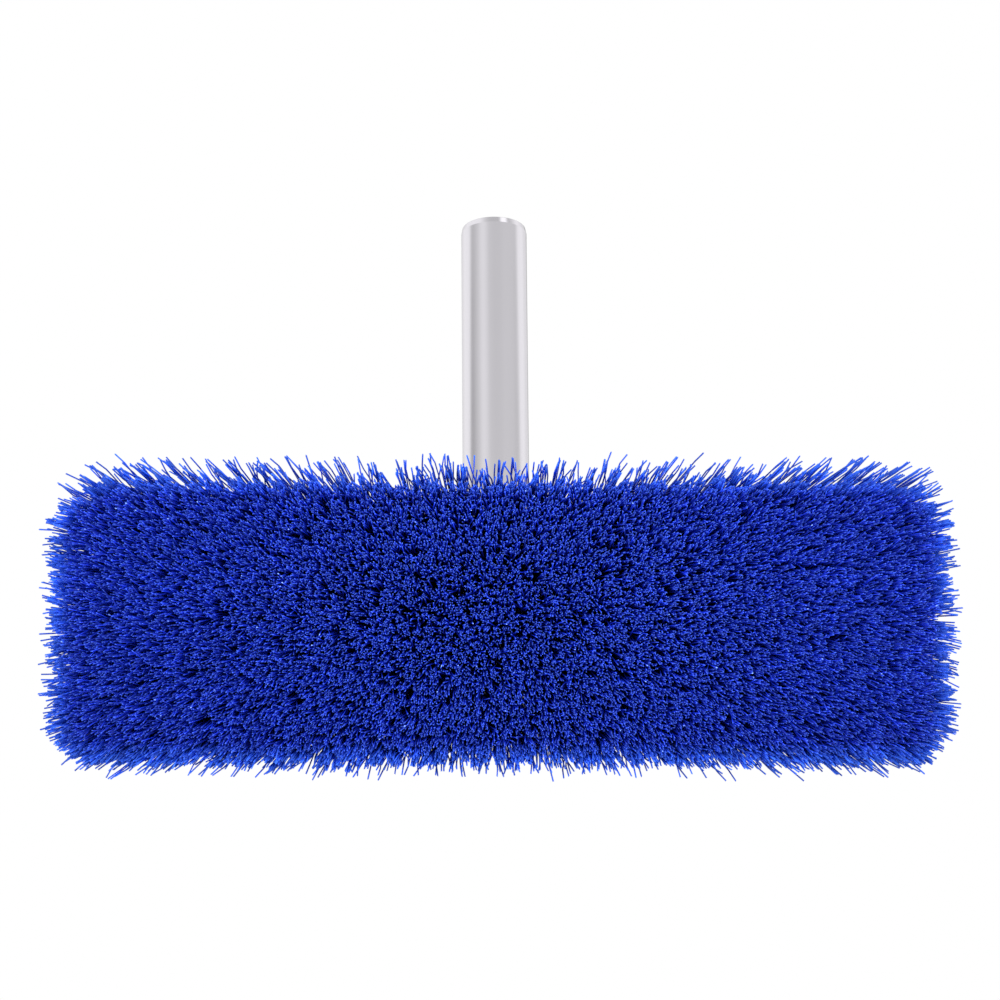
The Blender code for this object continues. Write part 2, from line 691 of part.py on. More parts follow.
def build_tube(socket, tube_screw_hole):
    """The handle tube, open at both ends, with a nosed outer rim."""
    inner = TUBE_RADIUS - TUBE_WALL
    low = FIT_GAP
    high = FIT_GAP + TUBE_LENGTH
    rim_centre = TUBE_RADIUS - TUBE_RIM_ROUND
    profile = [(inner, low), (inner, high)]
    nose = arc((rim_centre, 0), TUBE_RIM_ROUND, math.pi / 2, 0, TUBE_RIM_SEGMENTS)
    stretch = TUBE_RIM_REACH / TUBE_RIM_ROUND
    profile += [(radius, high - TUBE_RIM_REACH + reach * stretch) for radius, reach in nose]
    profile += [(TUBE_RADIUS, low + TUBE_RIM_ROUND), (rim_centre, low)]
    mesh = profile_mesh("handle_tube", [profile], closed=True)
    tube = make_object("handle_tube", mesh, PARTS, socket)
    add_screw_modifier(tube, SOCKET_SIDES)
    combine(tube, tube_screw_hole, "DIFFERENCE")
    return tube


def build_o_rings(socket):
    ring_radius = (TUBE_RADIUS + O_RING_GROOVE_RADIUS) / 2
    section_radius = (O_RING_GROOVE_RADIUS - TUBE_RADIUS) / 2 - FIT_GAP
    section = arc((ring_radius, 0), section_radius, 2 * math.pi, 0, O_RING_SIDES)[:-1]
    mesh = profile_mesh("socket_o_ring", [section], closed=True)
    rings = []
    for index in range(O_RING_COUNT):
        ring = make_object(f"socket_o_ring_{index + 1}", mesh, PARTS, socket)
        ring.location = (0, 0, O_RING_FIRST + index * O_RING_PITCH)
        add_screw_modifier(ring, O_RING_STEPS)
        rings.append(ring)
    return rings


def build_tube_screw(socket):
    """The screw through the socket's boss and the tube's wall, whose point stands in the bore."""
    seat = BOSS_TOP + FIT_GAP
    length = seat - (TUBE_RADIUS - TUBE_WALL - TUBE_SCREW_REACH)
    mesh = profile_mesh("tube_screw", [screw_profile(length)], closed=False)
    screw = make_object("tube_screw", mesh, PARTS, socket)
    screw.location = (0, -seat, TUBE_SCREW_PLACE)
    screw.rotation_euler = (math.pi / 2, 0, 0)
    add_screw_modifier(screw, SMALL_HOLE_SIDES)
    return screw


def floor_cutter(head):
    """The flat surface that the standing strands are trimmed to."""
    bm = bmesh.new()
    size = Matrix.Diagonal((2 * BLOCK_LENGTH, 4 * BLOCK_WIDTH, BLOCK_WIDTH, 1.0))
    place = Matrix.Translation((0, 0, -BRISTLE_HEIGHT - BLOCK_WIDTH / 2))
    bmesh.ops.create_cube(bm, size=1.0, matrix=place @ size)
    return make_cutter("floor", bm, head)


def centre_over_origin(head, parts):
    """Moves the whole head in Y, so that the origin lies under the middle of its box."""
    bpy.context.view_layer.update()
    graph = bpy.context.evaluated_depsgraph_get()
    reach = []
    for part in parts:
        shown = part.evaluated_get(graph)
        mesh = shown.to_mesh()
        reach += [(shown.matrix_world @ vertex.co).y for vertex in mesh.vertices]
        shown.to_mesh_clear()
    head.location.y = -(min(reach) + max(reach)) / 2


def main():
    head = make_empty("head_frame", None, (0, 0, BRISTLE_HEIGHT), (0, 0, 0))
    socket_turn = (TUBE_ANGLE - math.pi / 2, 0, 0)
    socket = make_empty("socket_frame", head, (0, SOCKET_STOP_OFFSET, SOCKET_STOP_HEIGHT), socket_turn)

    inside_wall = TUBE_RADIUS - TUBE_WALL - CUT_OVERRUN
    above_boss = BOSS_TOP + CUT_OVERRUN
    tube_screw_hole = tube_screw_rod(
        "tube_screw_hole", inside_wall, above_boss, SCREW_HOLE_RADIUS, SMALL_HOLE_SIDES, socket
    )
    outlets = outlet_cutter(head)
    white = make_material("bristle_block", WHITE_PLASTIC, 0.45, 0.0)
    finished = [
        ([build_block(head, outlets)], white),
        (build_tuft_rows(head, outlets), make_material("bristles", BRISTLE_BLUE, 0.35, 0.0)),
        ([build_cover(head, socket, tube_screw_hole)], make_material("back_cover", WHITE_COVER, 0.35, 0.0)),
        ([build_gasket(head)], make_material("cover_gasket", DARK_RUBBER, 0.7, 0.0)),
        (build_screws(head) + [build_tube_screw(socket)], make_material("screws", STEEL, 0.22, 1.0)),
        ([build_tube(socket, tube_screw_hole)], make_material("handle_tube", POLISHED_ALUMINIUM, 0.18, 1.0)),
        (build_o_rings(socket), make_material("socket_o_rings", DARK_RUBBER, 0.5, 0.0)),
    ]
    parts = []
    for group, material in finished:
        for part in group:
            if not part.data.materials:
                part.data.materials.append(material)
            smooth(part.data)
            parts.append(part)
    centre_over_origin(head, parts)


clear_scene()
PARTS = make_collection("wash_brush_head")
CUTTERS = make_collection("cutters")
main()
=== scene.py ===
"""Wash brush head: the finished look of the packed model.

The packed model is loaded as a fixed frame in metres: +X runs along the block, +Y towards the
handle's open end and +Z up from the bristle tips. Each piece below is modelled in that frame and
stands for one or more nodes of the model.
"""

import math

import bpy
import numpy as np
from bpy.props import FloatProperty, FloatVectorProperty, IntProperty, PointerProperty
from mathutils import Matrix, Vector


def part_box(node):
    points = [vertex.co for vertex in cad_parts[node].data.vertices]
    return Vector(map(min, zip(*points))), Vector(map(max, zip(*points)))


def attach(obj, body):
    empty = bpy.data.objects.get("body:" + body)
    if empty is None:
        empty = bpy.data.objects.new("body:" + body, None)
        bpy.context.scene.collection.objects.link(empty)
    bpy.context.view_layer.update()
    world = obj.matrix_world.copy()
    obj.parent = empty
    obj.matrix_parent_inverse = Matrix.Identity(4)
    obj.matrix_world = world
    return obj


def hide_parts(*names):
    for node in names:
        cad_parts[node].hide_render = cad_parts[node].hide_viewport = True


bl_info = {
    "name": "Wash Brush Head",
    "version": (1, 0, 0),
    "blender": (4, 5, 0),
    "location": "View3D > Sidebar > Wash Brush",
    "description": "Dresses the packed wash brush head with bristles, mouldings, tube and screws",
    "category": "Object",
}

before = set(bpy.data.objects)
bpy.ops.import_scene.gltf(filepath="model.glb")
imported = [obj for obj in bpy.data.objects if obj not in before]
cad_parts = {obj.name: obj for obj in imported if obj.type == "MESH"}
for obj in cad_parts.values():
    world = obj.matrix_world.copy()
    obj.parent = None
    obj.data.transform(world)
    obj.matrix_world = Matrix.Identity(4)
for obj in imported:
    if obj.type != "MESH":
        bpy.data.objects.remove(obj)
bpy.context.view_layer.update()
BLOCK_LOW, BLOCK_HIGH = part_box("bristle_block")
TUBE_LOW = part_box("handle_tube")[0]
BLOCK_MIDDLE = (BLOCK_LOW.y + BLOCK_HIGH.y) / 2
# Rows of tufts, and tufts in the longer rows
ROW_COUNT = 5
LONG_ROW = 17
BRISTLE_ROWS = tuple(f"tuft_row_{number}" for number in range(1, ROW_COUNT + 1))
COVER_SCREWS = tuple(f"cover_screw_{number:02d}" for number in range(1, 11))
SEALS = ("cover_gasket", "socket_o_ring_1", "socket_o_ring_2")
QUARTER_TURN = Matrix.Rotation(math.pi / 2, 4, "X")
SAME_HEIGHT = 0.00001
# How far cutting tools run past what they cut, and a distance beyond all pieces
OVERRUN = 0.002
BEYOND = 0.3
# Radius of every screw's hole, and how far the tube's screw stands back from the socket's mouth
SCREW_HOLE_RADIUS = 0.00205
TUBE_SCREW_SETBACK = 0.010
# Sides of round shapes, from the tube to the small holes, and segments of a slab's corners
TUBE_SIDES = 160
SOCKET_SIDES = 96
BOSS_SIDES = 48
HEAD_SIDES = 32
HOLE_SIDES = 24
TUFT_HOLE_SIDES = 20
SHANK_SIDES = 16
CORNER_SEGMENTS = 12


# Settings


def settings_of(kind, **fixed):
    """A function that makes settings of one kind."""

    def make(name, description, default):
        return kind(name=name, description=description, default=default, **fixed)

    return make


whole = settings_of(IntProperty)
ratio = settings_of(FloatProperty)
share = settings_of(FloatProperty, subtype="FACTOR")
length = settings_of(FloatProperty, unit="LENGTH", precision=5)
colour = settings_of(FloatVectorProperty, subtype="COLOR", size=3, min=0.0, max=1.0)


def angle(name, description, degrees):
    return settings_of(FloatProperty, unit="ROTATION")(name, description, math.radians(degrees))


class BristleSettings(bpy.types.PropertyGroup):
    """The field of filaments"""

    count: whole("Filaments", "Number of filaments", 42000)
    seed: whole("Seed", "Start of the random places", 7)
    filament_length: length("Length", "Free length of a filament", 0.066)
    root_radius: length("Root radius", "Radius of a filament at the block", 0.00015)
    tip_radius: length("Tip radius", "Radius of a filament at its cut end", 0.00024)
    hole_radius: length("Hole radius", "Radius of the tufts' holes", 0.0030)
    hole_depth: length("Hole depth", "How deep the tufts stand in the block", 0.0040)
    field_length: length("Field length", "Length over the tips", 0.3270)
    field_width: length("Field width", "Width over the tips", 0.1046)
    border_density: ratio("Border density", "Crowding of the tips at the border", 1.5)
    field_shift: length("Field shift", "Shift of the field towards the handle", -0.0003)
    handle_corner: length("Handle corner", "Radius of the field's corners on the handle side", 0.025)
    far_corner: length("Far corner", "Radius of the field's other corners", 0.017)
    end_margin: length("End margin", "From the block's end to the last tuft's middle", 0.009)
    side_margin: length("Side margin", "From the block's side to the outer row's middle", 0.012)
    fan_along: angle("Fan along", "Lean of the last tufts along the block", 36)
    fan_across: angle("Fan across", "Lean of the outer rows across the block", 16)
    mingling: length("Mingling", "How far neighbouring tufts mix at their tips", 0.0080)
    clump_pitch: length("Clump pitch", "Distance between small clumps of tips", 0.0024)
    clump_pull: share("Clump pull", "How far tips are drawn to their clump", 0.17)
    lock_pitch: length("Lock pitch", "Distance between larger locks of tips", 0.0062)
    lock_pull: share("Lock pull", "How far tips are drawn to their lock", 0.09)
    fringe_pull: share("Fringe pull", "How much further free tips are drawn to their lock", 0.30)
    fringe_growth: share("Fringe growth", "How much thicker filaments at the edge are", 0.35)
    gap_count: whole("Gaps", "Number of thin spots in the field", 420)
    gap_radius: length("Gap radius", "Half width of a common thin spot", 0.0009)
    gap_stretch: ratio("Gap stretch", "Length of a thin spot over its width", 2.0)
    gap_share: share("Gap share", "Share of the filaments left in a thin spot", 0.15)
    bow: length("Bow", "How far a filament bends off its line", 0.0018)
    kink: length("Kink", "How far its last stretch starts off its line", 0.0009)
    droop: share("Droop", "How much its lean lessens towards its tip", 0.20)
    unevenness: length("Unevenness", "How far tips stand back from the trimmed face", 0.0014)
    # Root and shaft blues hold painted shade: the filaments are darker towards the block, where the tufts
    # shade each other
    root_blue: colour("Root blue", "Colour of the filaments at the block", (0.004, 0.018, 0.16))
    shaft_blue: colour("Shaft blue", "Colour of the filaments behind their ends", (0.0112, 0.040, 0.66))
    # Painted light: the cut ends are given a brighter blue than the shafts behind them
    tip_blue: colour("Tip blue", "Colour of the cut ends", (0.048, 0.128, 0.83))
    # Painted light: filaments that stand free at the edge are given a paler blue, as if lit through
    fringe_blue: colour("Fringe blue", "Colour of the filaments at the free edge", (0.040, 0.160, 0.94))
    glint: colour("Glint", "Colour of the few cut ends that catch the light", (0.24, 0.42, 1.0))


class BlockSettings(bpy.types.PropertyGroup):
    """The bristle block"""

    corner: length("Corner", "Radius of the block's corners", 0.012)
    edge: length("Edge", "Radius of the block's edges", 0.0015)
    white: colour("White", "Colour of the moulded block", (0.80, 0.80, 0.79))


class CoverSettings(bpy.types.PropertyGroup):
    """The cover over the water chamber, with its socket"""

    gap: length("Gap", "Gap between the cover and the block", 0.0003)
    flange: length("Flange", "Thickness of the flange", 0.0035)
    end_inset: length("End inset", "From the block's end to the dome", 0.014)
    side_inset: length("Side inset", "From the block's side to the dome", 0.011)
    dome_height: length("Dome height", "Height of the dome over the flange", 0.0122)
    dome_corner: length("Dome corner", "Radius of the dome's corners", 0.010)
    dome_draft: length("Dome draft", "How far the dome's walls draw in", 0.0015)
    dome_edge: length("Dome edge", "Radius of the dome's upper edge", 0.004)
    socket_radius: length("Socket radius", "Outer radius of the socket", 0.018)
    socket_depth: length("Socket depth", "From the stop to the socket's mouth", 0.030)
    collar_width: length("Collar width", "Width of the collar at the socket's mouth", 0.004)
    collar_height: length("Collar height", "How far the collar stands out", 0.002)
    white: colour("White", "Colour of the moulded cover", (0.76, 0.76, 0.75))


class TubeSettings(bpy.types.PropertyGroup):
    """The handle tube"""

    diameter: length("Diameter", "Outer diameter of the tube", 0.0254)
    wall: length("Wall", "Thickness of the tube's wall", 0.0016)
    tube_length: length("Length", "Length of the tube", 0.1595)
    rim: length("Rim", "How far the tube draws in at its rim", 0.0005)
    rim_reach: length("Rim reach", "How far the drawn-in rim reaches along the tube", 0.0023)
    rim_round: length("Rim round", "Radius of the rim's edges", 0.0005)
    lean: angle("Lean", "Angle between the tube and the block's plane", 20)
    silver: colour("Silver", "Colour of the polished aluminium", (0.80, 0.78, 0.825))


class ScrewSettings(bpy.types.PropertyGroup):
    """The screws of the cover and of the tube"""

    head_diameter: length("Head diameter", "Diameter of the pan head", 0.0066)
    head_height: length("Head height", "Height of the pan head", 0.0024)
    shank_diameter: length("Shank diameter", "Diameter of the shank", 0.0035)
    steel: colour("Steel", "Colour of the stainless steel", (0.56, 0.56, 0.57))


class StageSettings(bpy.types.PropertyGroup):
    """Floor, light and camera"""

    distance: length("Camera distance", "From the camera to the bristle tips", 1.70)
    aside: length("Camera aside", "How far the camera stands to one side", 0.040)
    aim_aside: length("Aim aside", "How far to one side the camera aims", 0.0010)
    aim: length("Aim", "How far beyond the block's middle the camera aims", 0.0424)
    view: angle("View", "Width of the camera's view", 12.01)
    floor_pale: colour("Floor", "Colour of the floor", (0.86, 0.86, 0.86))


SETTINGS = {
    "wash_bristles": BristleSettings,
    "wash_block": BlockSettings,
    "wash_cover": CoverSettings,
    "wash_tube": TubeSettings,
    "wash_screws": ScrewSettings,
    "wash_stage": StageSettings,
}


# Modelling helpers


def select_only(*pieces):
    """Selects these pieces alone and makes the first of them active."""
    bpy.ops.object.select_all(action="DESELECT")
    for piece in pieces:
        piece.select_set(True)
    bpy.context.view_layer.objects.active = pieces[0]


def new_piece(name, data):
    piece = bpy.data.objects.new(name, data)
    bpy.context.scene.collection.objects.link(piece)
    return piece


def newest(name):
    """Names the object that was just added or joined."""
    piece = bpy.context.object
    piece.name = name
    piece.data.name = name
    return piece


def remove(piece):
    bpy.data.objects.remove(piece, do_unlink=True)


def apply_place(piece, place=None):
    """Moves a piece's place, turn and scale into its mesh, after putting it in a place if one is given."""
    if place is not None:
        piece.matrix_world = place
    select_only(piece)
    bpy.ops.object.transform_apply(location=True, rotation=True, scale=True)
    return piece


def add_box(name, low, high):
    middle = [(a + b) / 2 for a, b in zip(low, high)]
    bpy.ops.mesh.primitive_cube_add(size=1.0, location=middle)
    box = newest(name)
    box.scale = [b - a for a, b in zip(low, high)]
    return apply_place(box)


def add_rod(name, start, end, radius, sides, place=Matrix(), end_radius=None):
    """A round bar or cone along the local Z axis of a place."""
    last = radius if end_radius is None else end_radius
    bpy.ops.mesh.primitive_cone_add(vertices=sides, radius1=radius, radius2=last, depth=end - start)
    return apply_place(newest(name), place @ Matrix.Translation((0, 0, (start + end) / 2)))


def edit(piece, kind, test):
    """Opens a piece in edit mode with those of its parts selected that pass a test of their points."""
    select_only(piece)
    bpy.ops.object.mode_set(mode="EDIT")
    bpy.ops.mesh.select_mode(type=kind)
    bpy.ops.mesh.select_all(action="DESELECT")
    close_edit()
    mesh = piece.data
    parts = {"VERT": mesh.vertices, "EDGE": mesh.edges, "FACE": mesh.polygons}[kind]
    for part in parts:
        corners = [part.index] if kind == "VERT" else part.vertices
        part.select = bool(test([mesh.vertices[corner].co for corner in corners]))
    bpy.ops.object.mode_set(mode="EDIT")


def close_edit():
    bpy.ops.object.mode_set(mode="OBJECT")


def bevel_where(piece, test, radius, segments):
    edit(piece, "EDGE", test)
    bpy.ops.mesh.bevel(offset=radius, segments=segments, affect="EDGES", clamp_overlap=True)
    close_edit()


def resize_end(piece, height, shares, middle=(0, 0)):
    """Draws in the end of a piece at a height, towards its middle, to shares of its size along X and Y."""
    edit(piece, "VERT", at_height(height))
    bpy.ops.transform.resize(value=(*shares, 1), center_override=(*middle, height))
    close_edit()


def upright(points):
    return abs(points[0].z - points[1].z) > 0.0001 and (points[0].xy - points[1].xy).length < 0.003


def is_level(points):
    return abs(points[0].z - points[1].z) < SAME_HEIGHT


def at_height(height):
    return lambda points: all(abs(point.z - height) < SAME_HEIGHT for point in points)


def rounded_slab(name, low, high, corner, draft=0.0):
    """A box with rounded upright corners, drawn in at its top."""
    slab = add_box(name, low, high)
    bevel_where(slab, upright, corner, CORNER_SEGMENTS)
    if draft:
        shares = [1 - 2 * draft / (high[axis] - low[axis]) for axis in (0, 1)]
        resize_end(slab, high[2], shares, [(low[axis] + high[axis]) / 2 for axis in (0, 1)])
    return slab


def apply_modifier(piece, kind, **settings):
    modifier = piece.modifiers.new(kind.title(), kind)
    for name, value in settings.items():
        setattr(modifier, name, value)
    select_only(piece)
    bpy.ops.object.modifier_apply(modifier=modifier.name)


def combine(piece, operation, *tools):
    """Joins tools to a piece or cuts them away, one after another, and removes them."""
    for tool in tools:
        apply_modifier(piece, "BOOLEAN", operation=operation, object=tool, solver="EXACT")
        remove(tool)


def join(name, pieces):
    select_only(*pieces)
    bpy.ops.object.join()
    return newest(name)


def shade(piece, degrees=35):
    """Smooth where faces meet at less than an angle, with normals that keep the large faces flat."""
    select_only(piece)
    bpy.ops.object.shade_smooth_by_angle(angle=math.radians(degrees))
    apply_modifier(piece, "WEIGHTED_NORMAL", keep_sharp=True)


def coat(piece, material):
    piece.data.materials.clear()
    piece.data.materials.append(material)


def finish_piece(piece, material, slot, *nodes):
    """Gives a finished piece its material and hides the nodes that it stands for."""
    coat(piece, material)
    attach(piece, "root")
    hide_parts(*nodes)


def socket_place():
    """The frame at the tube's stop, with local Z along the tube."""
    tube = bpy.context.scene.wash_tube
    gap = bpy.context.scene.wash_cover.gap
    radius = tube.diameter / 2
    y = TUBE_LOW.y + radius * math.sin(tube.lean) - gap * math.cos(tube.lean)
    z = TUBE_LOW.z + radius * math.cos(tube.lean) - gap * math.sin(tube.lean)
    return Matrix.Translation((0, y, z)) @ Matrix.Rotation(tube.lean - math.pi / 2, 4, "X")


def tube_screw_place():
    """The frame of the screw that holds the tube, on the tube's axis with local Z up along the screw."""
    depth = bpy.context.scene.wash_cover.socket_depth - TUBE_SCREW_SETBACK
    return socket_place() @ Matrix.Translation((0, 0, depth)) @ QUARTER_TURN


# Materials

SURFACE_OUTPUTS = ("Colour", "Roughness", "Height")
# Colours of a filament in its node group, and the settings that they come from: the root and shaft carry
# painted shade, the tip and fringe painted light, the glint a painted highlight
FILAMENT_COLOURS = {
    "Shaded root colour": "root_blue",
    "Shaded shaft colour": "shaft_blue",
    "Lit tip colour": "tip_blue",
    "Lit fringe colour": "fringe_blue",
    "Glint colour": "glint",
}


def add_node(tree, kind, inputs=None, **settings):
    """A shader node with its settings, and with each input either linked or given a value."""
    node = tree.nodes.new("ShaderNode" + kind)
    for name, value in settings.items():
        setattr(node, name, value)
    for name, value in (inputs or {}).items():
        if isinstance(value, bpy.types.NodeSocket):
            tree.links.new(value, node.inputs[name])
        else:
            node.inputs[name].default_value = value
    return node


def math_node(tree, operation, *values):
    return add_node(tree, "Math", dict(enumerate(values)), operation=operation).outputs[0]


def vector_math(tree, operation, first, second):
    """The number that an operation on two vectors gives."""
    return add_node(tree, "VectorMath", {0: first, 1: second}, operation=operation).outputs["Value"]


def scaled(tree, colour, brightness):
    inputs = {0: colour, "Scale": brightness}
    return add_node(tree, "VectorMath", inputs, operation="SCALE").outputs[0]


def noise(tree, place, scale, detail):
    inputs = {"Vector": place, "Scale": scale, "Detail": detail}
    return add_node(tree, "TexNoise", inputs).outputs[0]


def centred(tree, value, amount):
    """How far a value lies from a half, times an amount."""
    return math_node(tree, "MULTIPLY", math_node(tree, "SUBTRACT", value, 0.5), amount)


def ramp_value(tree, value, low, high):
    """Rises smoothly from 0 to 1 between two values."""
    inputs = {"Value": value, "From Min": low, "From Max": high}
    return add_node(tree, "MapRange", inputs, interpolation_type="SMOOTHSTEP").outputs[0]


def mix_colour(tree, factor, first, second):
    return add_node(tree, "Mix", {0: factor, 6: first, 7: second}, data_type="RGBA").outputs[2]


def new_group(name, inputs, outputs):
    """An empty shader node group, whose sockets' kinds follow from their names."""
    group = bpy.data.node_groups.new(name, "ShaderNodeTree")
    for way, labels in (("INPUT", inputs), ("OUTPUT", outputs)):
        for label in labels:
            kind = "Color" if label.lower().endswith("colour") else "Float"
            kind = "Vector" if label == "Vector" else kind
            group.interface.new_socket(label, in_out=way, socket_type="NodeSocket" + kind)
    return group, group.nodes.new("NodeGroupInput").outputs


def close_group(group, *values):
    """Links the values to the group's outputs, in their order."""
    for value, socket in zip(values, group.nodes.new("NodeGroupOutput").inputs):
        group.links.new(value, socket)
    return group


def moulded_group():
    """Colour, roughness and height of a moulded or cast surface: fine grain with soft mottling."""
    inputs = ("Vector", "Colour", "Mottle", "Roughness", "Grain scale")
    group, given = new_group("Moulded surface", inputs, SURFACE_OUTPUTS)
    grain = noise(group, given["Vector"], given["Grain scale"], 3.0)
    mottle = centred(group, noise(group, given["Vector"], 26.0, 4.0), given["Mottle"])
    tint = scaled(group, given["Colour"], math_node(group, "ADD", mottle, 1.0))
    rough = math_node(group, "ADD", centred(group, grain, 0.18), given["Roughness"])
    rough = math_node(group, "MULTIPLY_ADD", mottle, 1.5, rough)
    return close_group(group, tint, rough, grain)


def drawn_metal_group():
    """Colour, roughness and height of metal with fine lines along the local Z of its vector."""
    inputs = ("Vector", "Colour", "Line scale", "Roughness", "Scratches")
    group, given = new_group("Drawn metal", inputs, SURFACE_OUTPUTS)
    stretched = add_node(group, "Mapping", {"Vector": given["Vector"], "Scale": (1.0, 1.0, 0.02)})
    lines = noise(group, stretched.outputs[0], given["Line scale"], 2.0)
    haze = centred(group, noise(group, given["Vector"], 40.0, 3.0), 0.06)
    rough = math_node(group, "ADD", centred(group, lines, given["Scratches"]), given["Roughness"])
    rough = math_node(group, "ADD", rough, haze)
    tint = scaled(group, given["Colour"], math_node(group, "MULTIPLY_ADD", haze, 0.5, 1.0))
    return close_group(group, tint, rough, lines)


def filament_group():
    """Colour and roughness of a filament, from its place along, its own number and how free it stands, with
    painted shade towards its root, painted light on its cut end and on the free fringe, and a painted
    highlight on a few cut ends.
    """
    inputs = ("Along", "Number", "Edge", "Spread", *FILAMENT_COLOURS)
    group, given = new_group("Filament", inputs, SURFACE_OUTPUTS[:2])
    # Painted shade: the filament darkens from its shaft down to its root
    rise = math_node(group, "POWER", given["Along"], 3.5)
    shaft = mix_colour(group, rise, given["Shaded root colour"], given["Shaded shaft colour"])
    # Painted light on the cut end: its last stretch takes the brighter tip colour
    cut = ramp_value(group, given["Along"], 0.982, 0.998)
    # Painted highlight: a few cut ends take the pale glint colour
    few = math_node(group, "GREATER_THAN", given["Number"], 0.9975)
    end = mix_colour(group, few, given["Lit tip colour"], given["Glint colour"])
    inner = mix_colour(group, cut, shaft, end)
    # Painted light on the free fringe: filaments at the edge turn paler towards their tips
    free = ramp_value(group, given["Along"], 0.45, 0.92)
    outer = mix_colour(group, free, shaft, given["Lit fringe colour"])
    base = mix_colour(group, given["Edge"], inner, outer)
    extra = math_node(group, "POWER", given["Number"], 3.0)
    bright = math_node(group, "MULTIPLY_ADD", extra, given["Spread"], 0.72)
    rough = math_node(group, "MULTIPLY_ADD", given["Number"], -0.3, 0.52)
    return close_group(group, scaled(group, base, bright), rough)


def new_material(name, metallic, specular=0.5):
    material = bpy.data.materials.new(name)
    material.use_nodes = True
    shader = material.node_tree.nodes["Principled BSDF"]
    shader.inputs["Metallic"].default_value = metallic
    shader.inputs["Specular IOR Level"].default_value = specular
    return material, material.node_tree, shader


GROUPS = {"Moulded surface": moulded_group, "Drawn metal": drawn_metal_group, "Filament": filament_group}


def link_group(tree, shader, name, inputs):
    """Colours a shader by one of the shared groups, which is built when it is first needed."""
    group = bpy.data.node_groups.get(name) or GROUPS[name]()
    surface = add_node(tree, "Group", inputs, node_tree=group)
    tree.links.new(surface.outputs["Colour"], shader.inputs["Base Color"])
    tree.links.new(surface.outputs["Roughness"], shader.inputs["Roughness"])
    return surface.outputs


def surface_material(name, group_name, values, metallic, bump, distance, turn=None):
    """A material that takes colour, roughness and bump from one of the shared groups."""
    material, tree, shader = new_material(name, metallic)
    place = add_node(tree, "TexCoord").outputs["Object"]
    if turn is not None:
        place = add_node(tree, "Mapping", {"Vector": place, "Rotation": turn}).outputs[0]
    surface = link_group(tree, shader, group_name, {"Vector": place, **values})
    relief = {"Strength": bump, "Distance": distance, "Height": surface["Height"]}
    tree.links.new(add_node(tree, "Bump", relief).outputs[0], shader.inputs["Normal"])
    return material


def filament_material(settings):
    material, tree, shader = new_material("Blue filament", 0.0, 0.42)
    inputs = {name: (*getattr(settings, setting), 1) for name, setting in FILAMENT_COLOURS.items()}
    inputs["Spread"] = 0.96
    for name in ("along", "number", "edge"):
        inputs[name.title()] = add_node(tree, "Attribute", attribute_name=name).outputs["Fac"]
    link_group(tree, shader, "Filament", inputs)
    return material


# Bristles

# Where a filament's inner rings lie, as shares of its length
MIDDLE_RING = 0.52
LAST_RING = 0.87
# How far past the border a filament starts to stand free, and where it does so wholly
FREE_BAND = (-0.007, -0.001)
# How crowded the tips are at steps past the border: to the handle, to the far side and at the ends
HANDLE_STEPS = (-0.0075, -0.005, -0.0035, -0.0022, -0.001, 0.0007, 0.0025, 0.0043, 0.0058, 0.0072)
HANDLE_CROWDING = (1, 1.5, 1.2, 0.62, 0.31, 0.17, 0.30, 0.21, 0.10, 0)
FAR_STEPS = (-0.004, -0.0025, -0.0005, 0.0008, 0.0015, 0.003, 0.0045, 0.0056)
FAR_CROWDING = (1, 1.5, 1.3, 0.64, 0.26, 0.16, 0.06, 0)
END_STEPS = (-0.005, -0.003, -0.001, 0.0005, 0.0025, 0.005)
END_CROWDING = (1, 1.4, 1.15, 0.42, 0.14, 0)
# How far past the border tips are tried, and how far they move on their grid, in steps of it
BORDER_REACH = 0.009
GRID_JITTER = 0.6
# How much of the fringe's pull the other sides get
SIDE_PULL = 0.35
# How a filament's place in its hole follows its tip: distance that counts as full, share and scatter
FULL_OFFSET = 0.012
FOLLOW_SHARE = 0.55
FOOT_SCATTER = 0.35
# How much filaments differ in length, and the least length for their lean
LENGTH_SCATTER = 0.012
LEAST_STRETCH = 1.15
# How much thin spots and pulls differ, as shares of their common size
GAP_RANGE = (0.5, 1.5)
PULL_RANGE = (0.3, 1.7)
# Shape of the spread of tips that stand back from the trimmed face
SETBACK_SHAPE = (1.3, 3.0)
# How much less the filaments at the edge bow and kink
BOW_CALM = 0.5
KINK_CALM = 0.6
# How many filaments are given their tufts at a time
BATCH = 4000


def tuft_grid(settings):
    """Place and row of every tuft: long rows, with staggered rows of one tuft less between them."""
    half_length = (BLOCK_HIGH.x - BLOCK_LOW.x) / 2 - settings.end_margin
    half_width = (BLOCK_HIGH.y - BLOCK_LOW.y) / 2 - settings.side_margin
    middle = LONG_ROW - 1
    places = []
    for row in range(ROW_COUNT):
        y = half_width * (2 * row / (ROW_COUNT - 1) - 1)
        steps = range(row % 2, 2 * LONG_ROW - 1, 2)
        places += [(half_length * (step - middle) / middle, y, row) for step in steps]
    places = np.array(places)
    lean_along = settings.fan_along * places[:, 0] / half_length
    lean_across = settings.fan_across * places[:, 1] / half_width
    return places[:, :2], places[:, 2].astype(int), np.tan(lean_along), np.tan(lean_across)


def past_border(points, settings):
    """How far points lie outside the field's rounded border, and whether an end of the field is nearest."""
    corner = np.where(points[:, 1] > 0, settings.handle_corner, settings.far_corner)
    past_x = np.abs(points[:, 0]) - (settings.field_length / 2 - corner)
    past_y = np.abs(points[:, 1] - settings.field_shift) - (settings.field_width / 2 - corner)
    past = np.hypot(np.maximum(past_x, 0), np.maximum(past_y, 0)) - corner
    return past + np.minimum(np.maximum(past_x, past_y), 0), past_x > past_y


def freedom(tips, settings):
    """From 0 deep in the field to 1 where the filaments stand free at its edge."""
    return np.interp(past_border(tips, settings)[0], FREE_BAND, (0, 1))


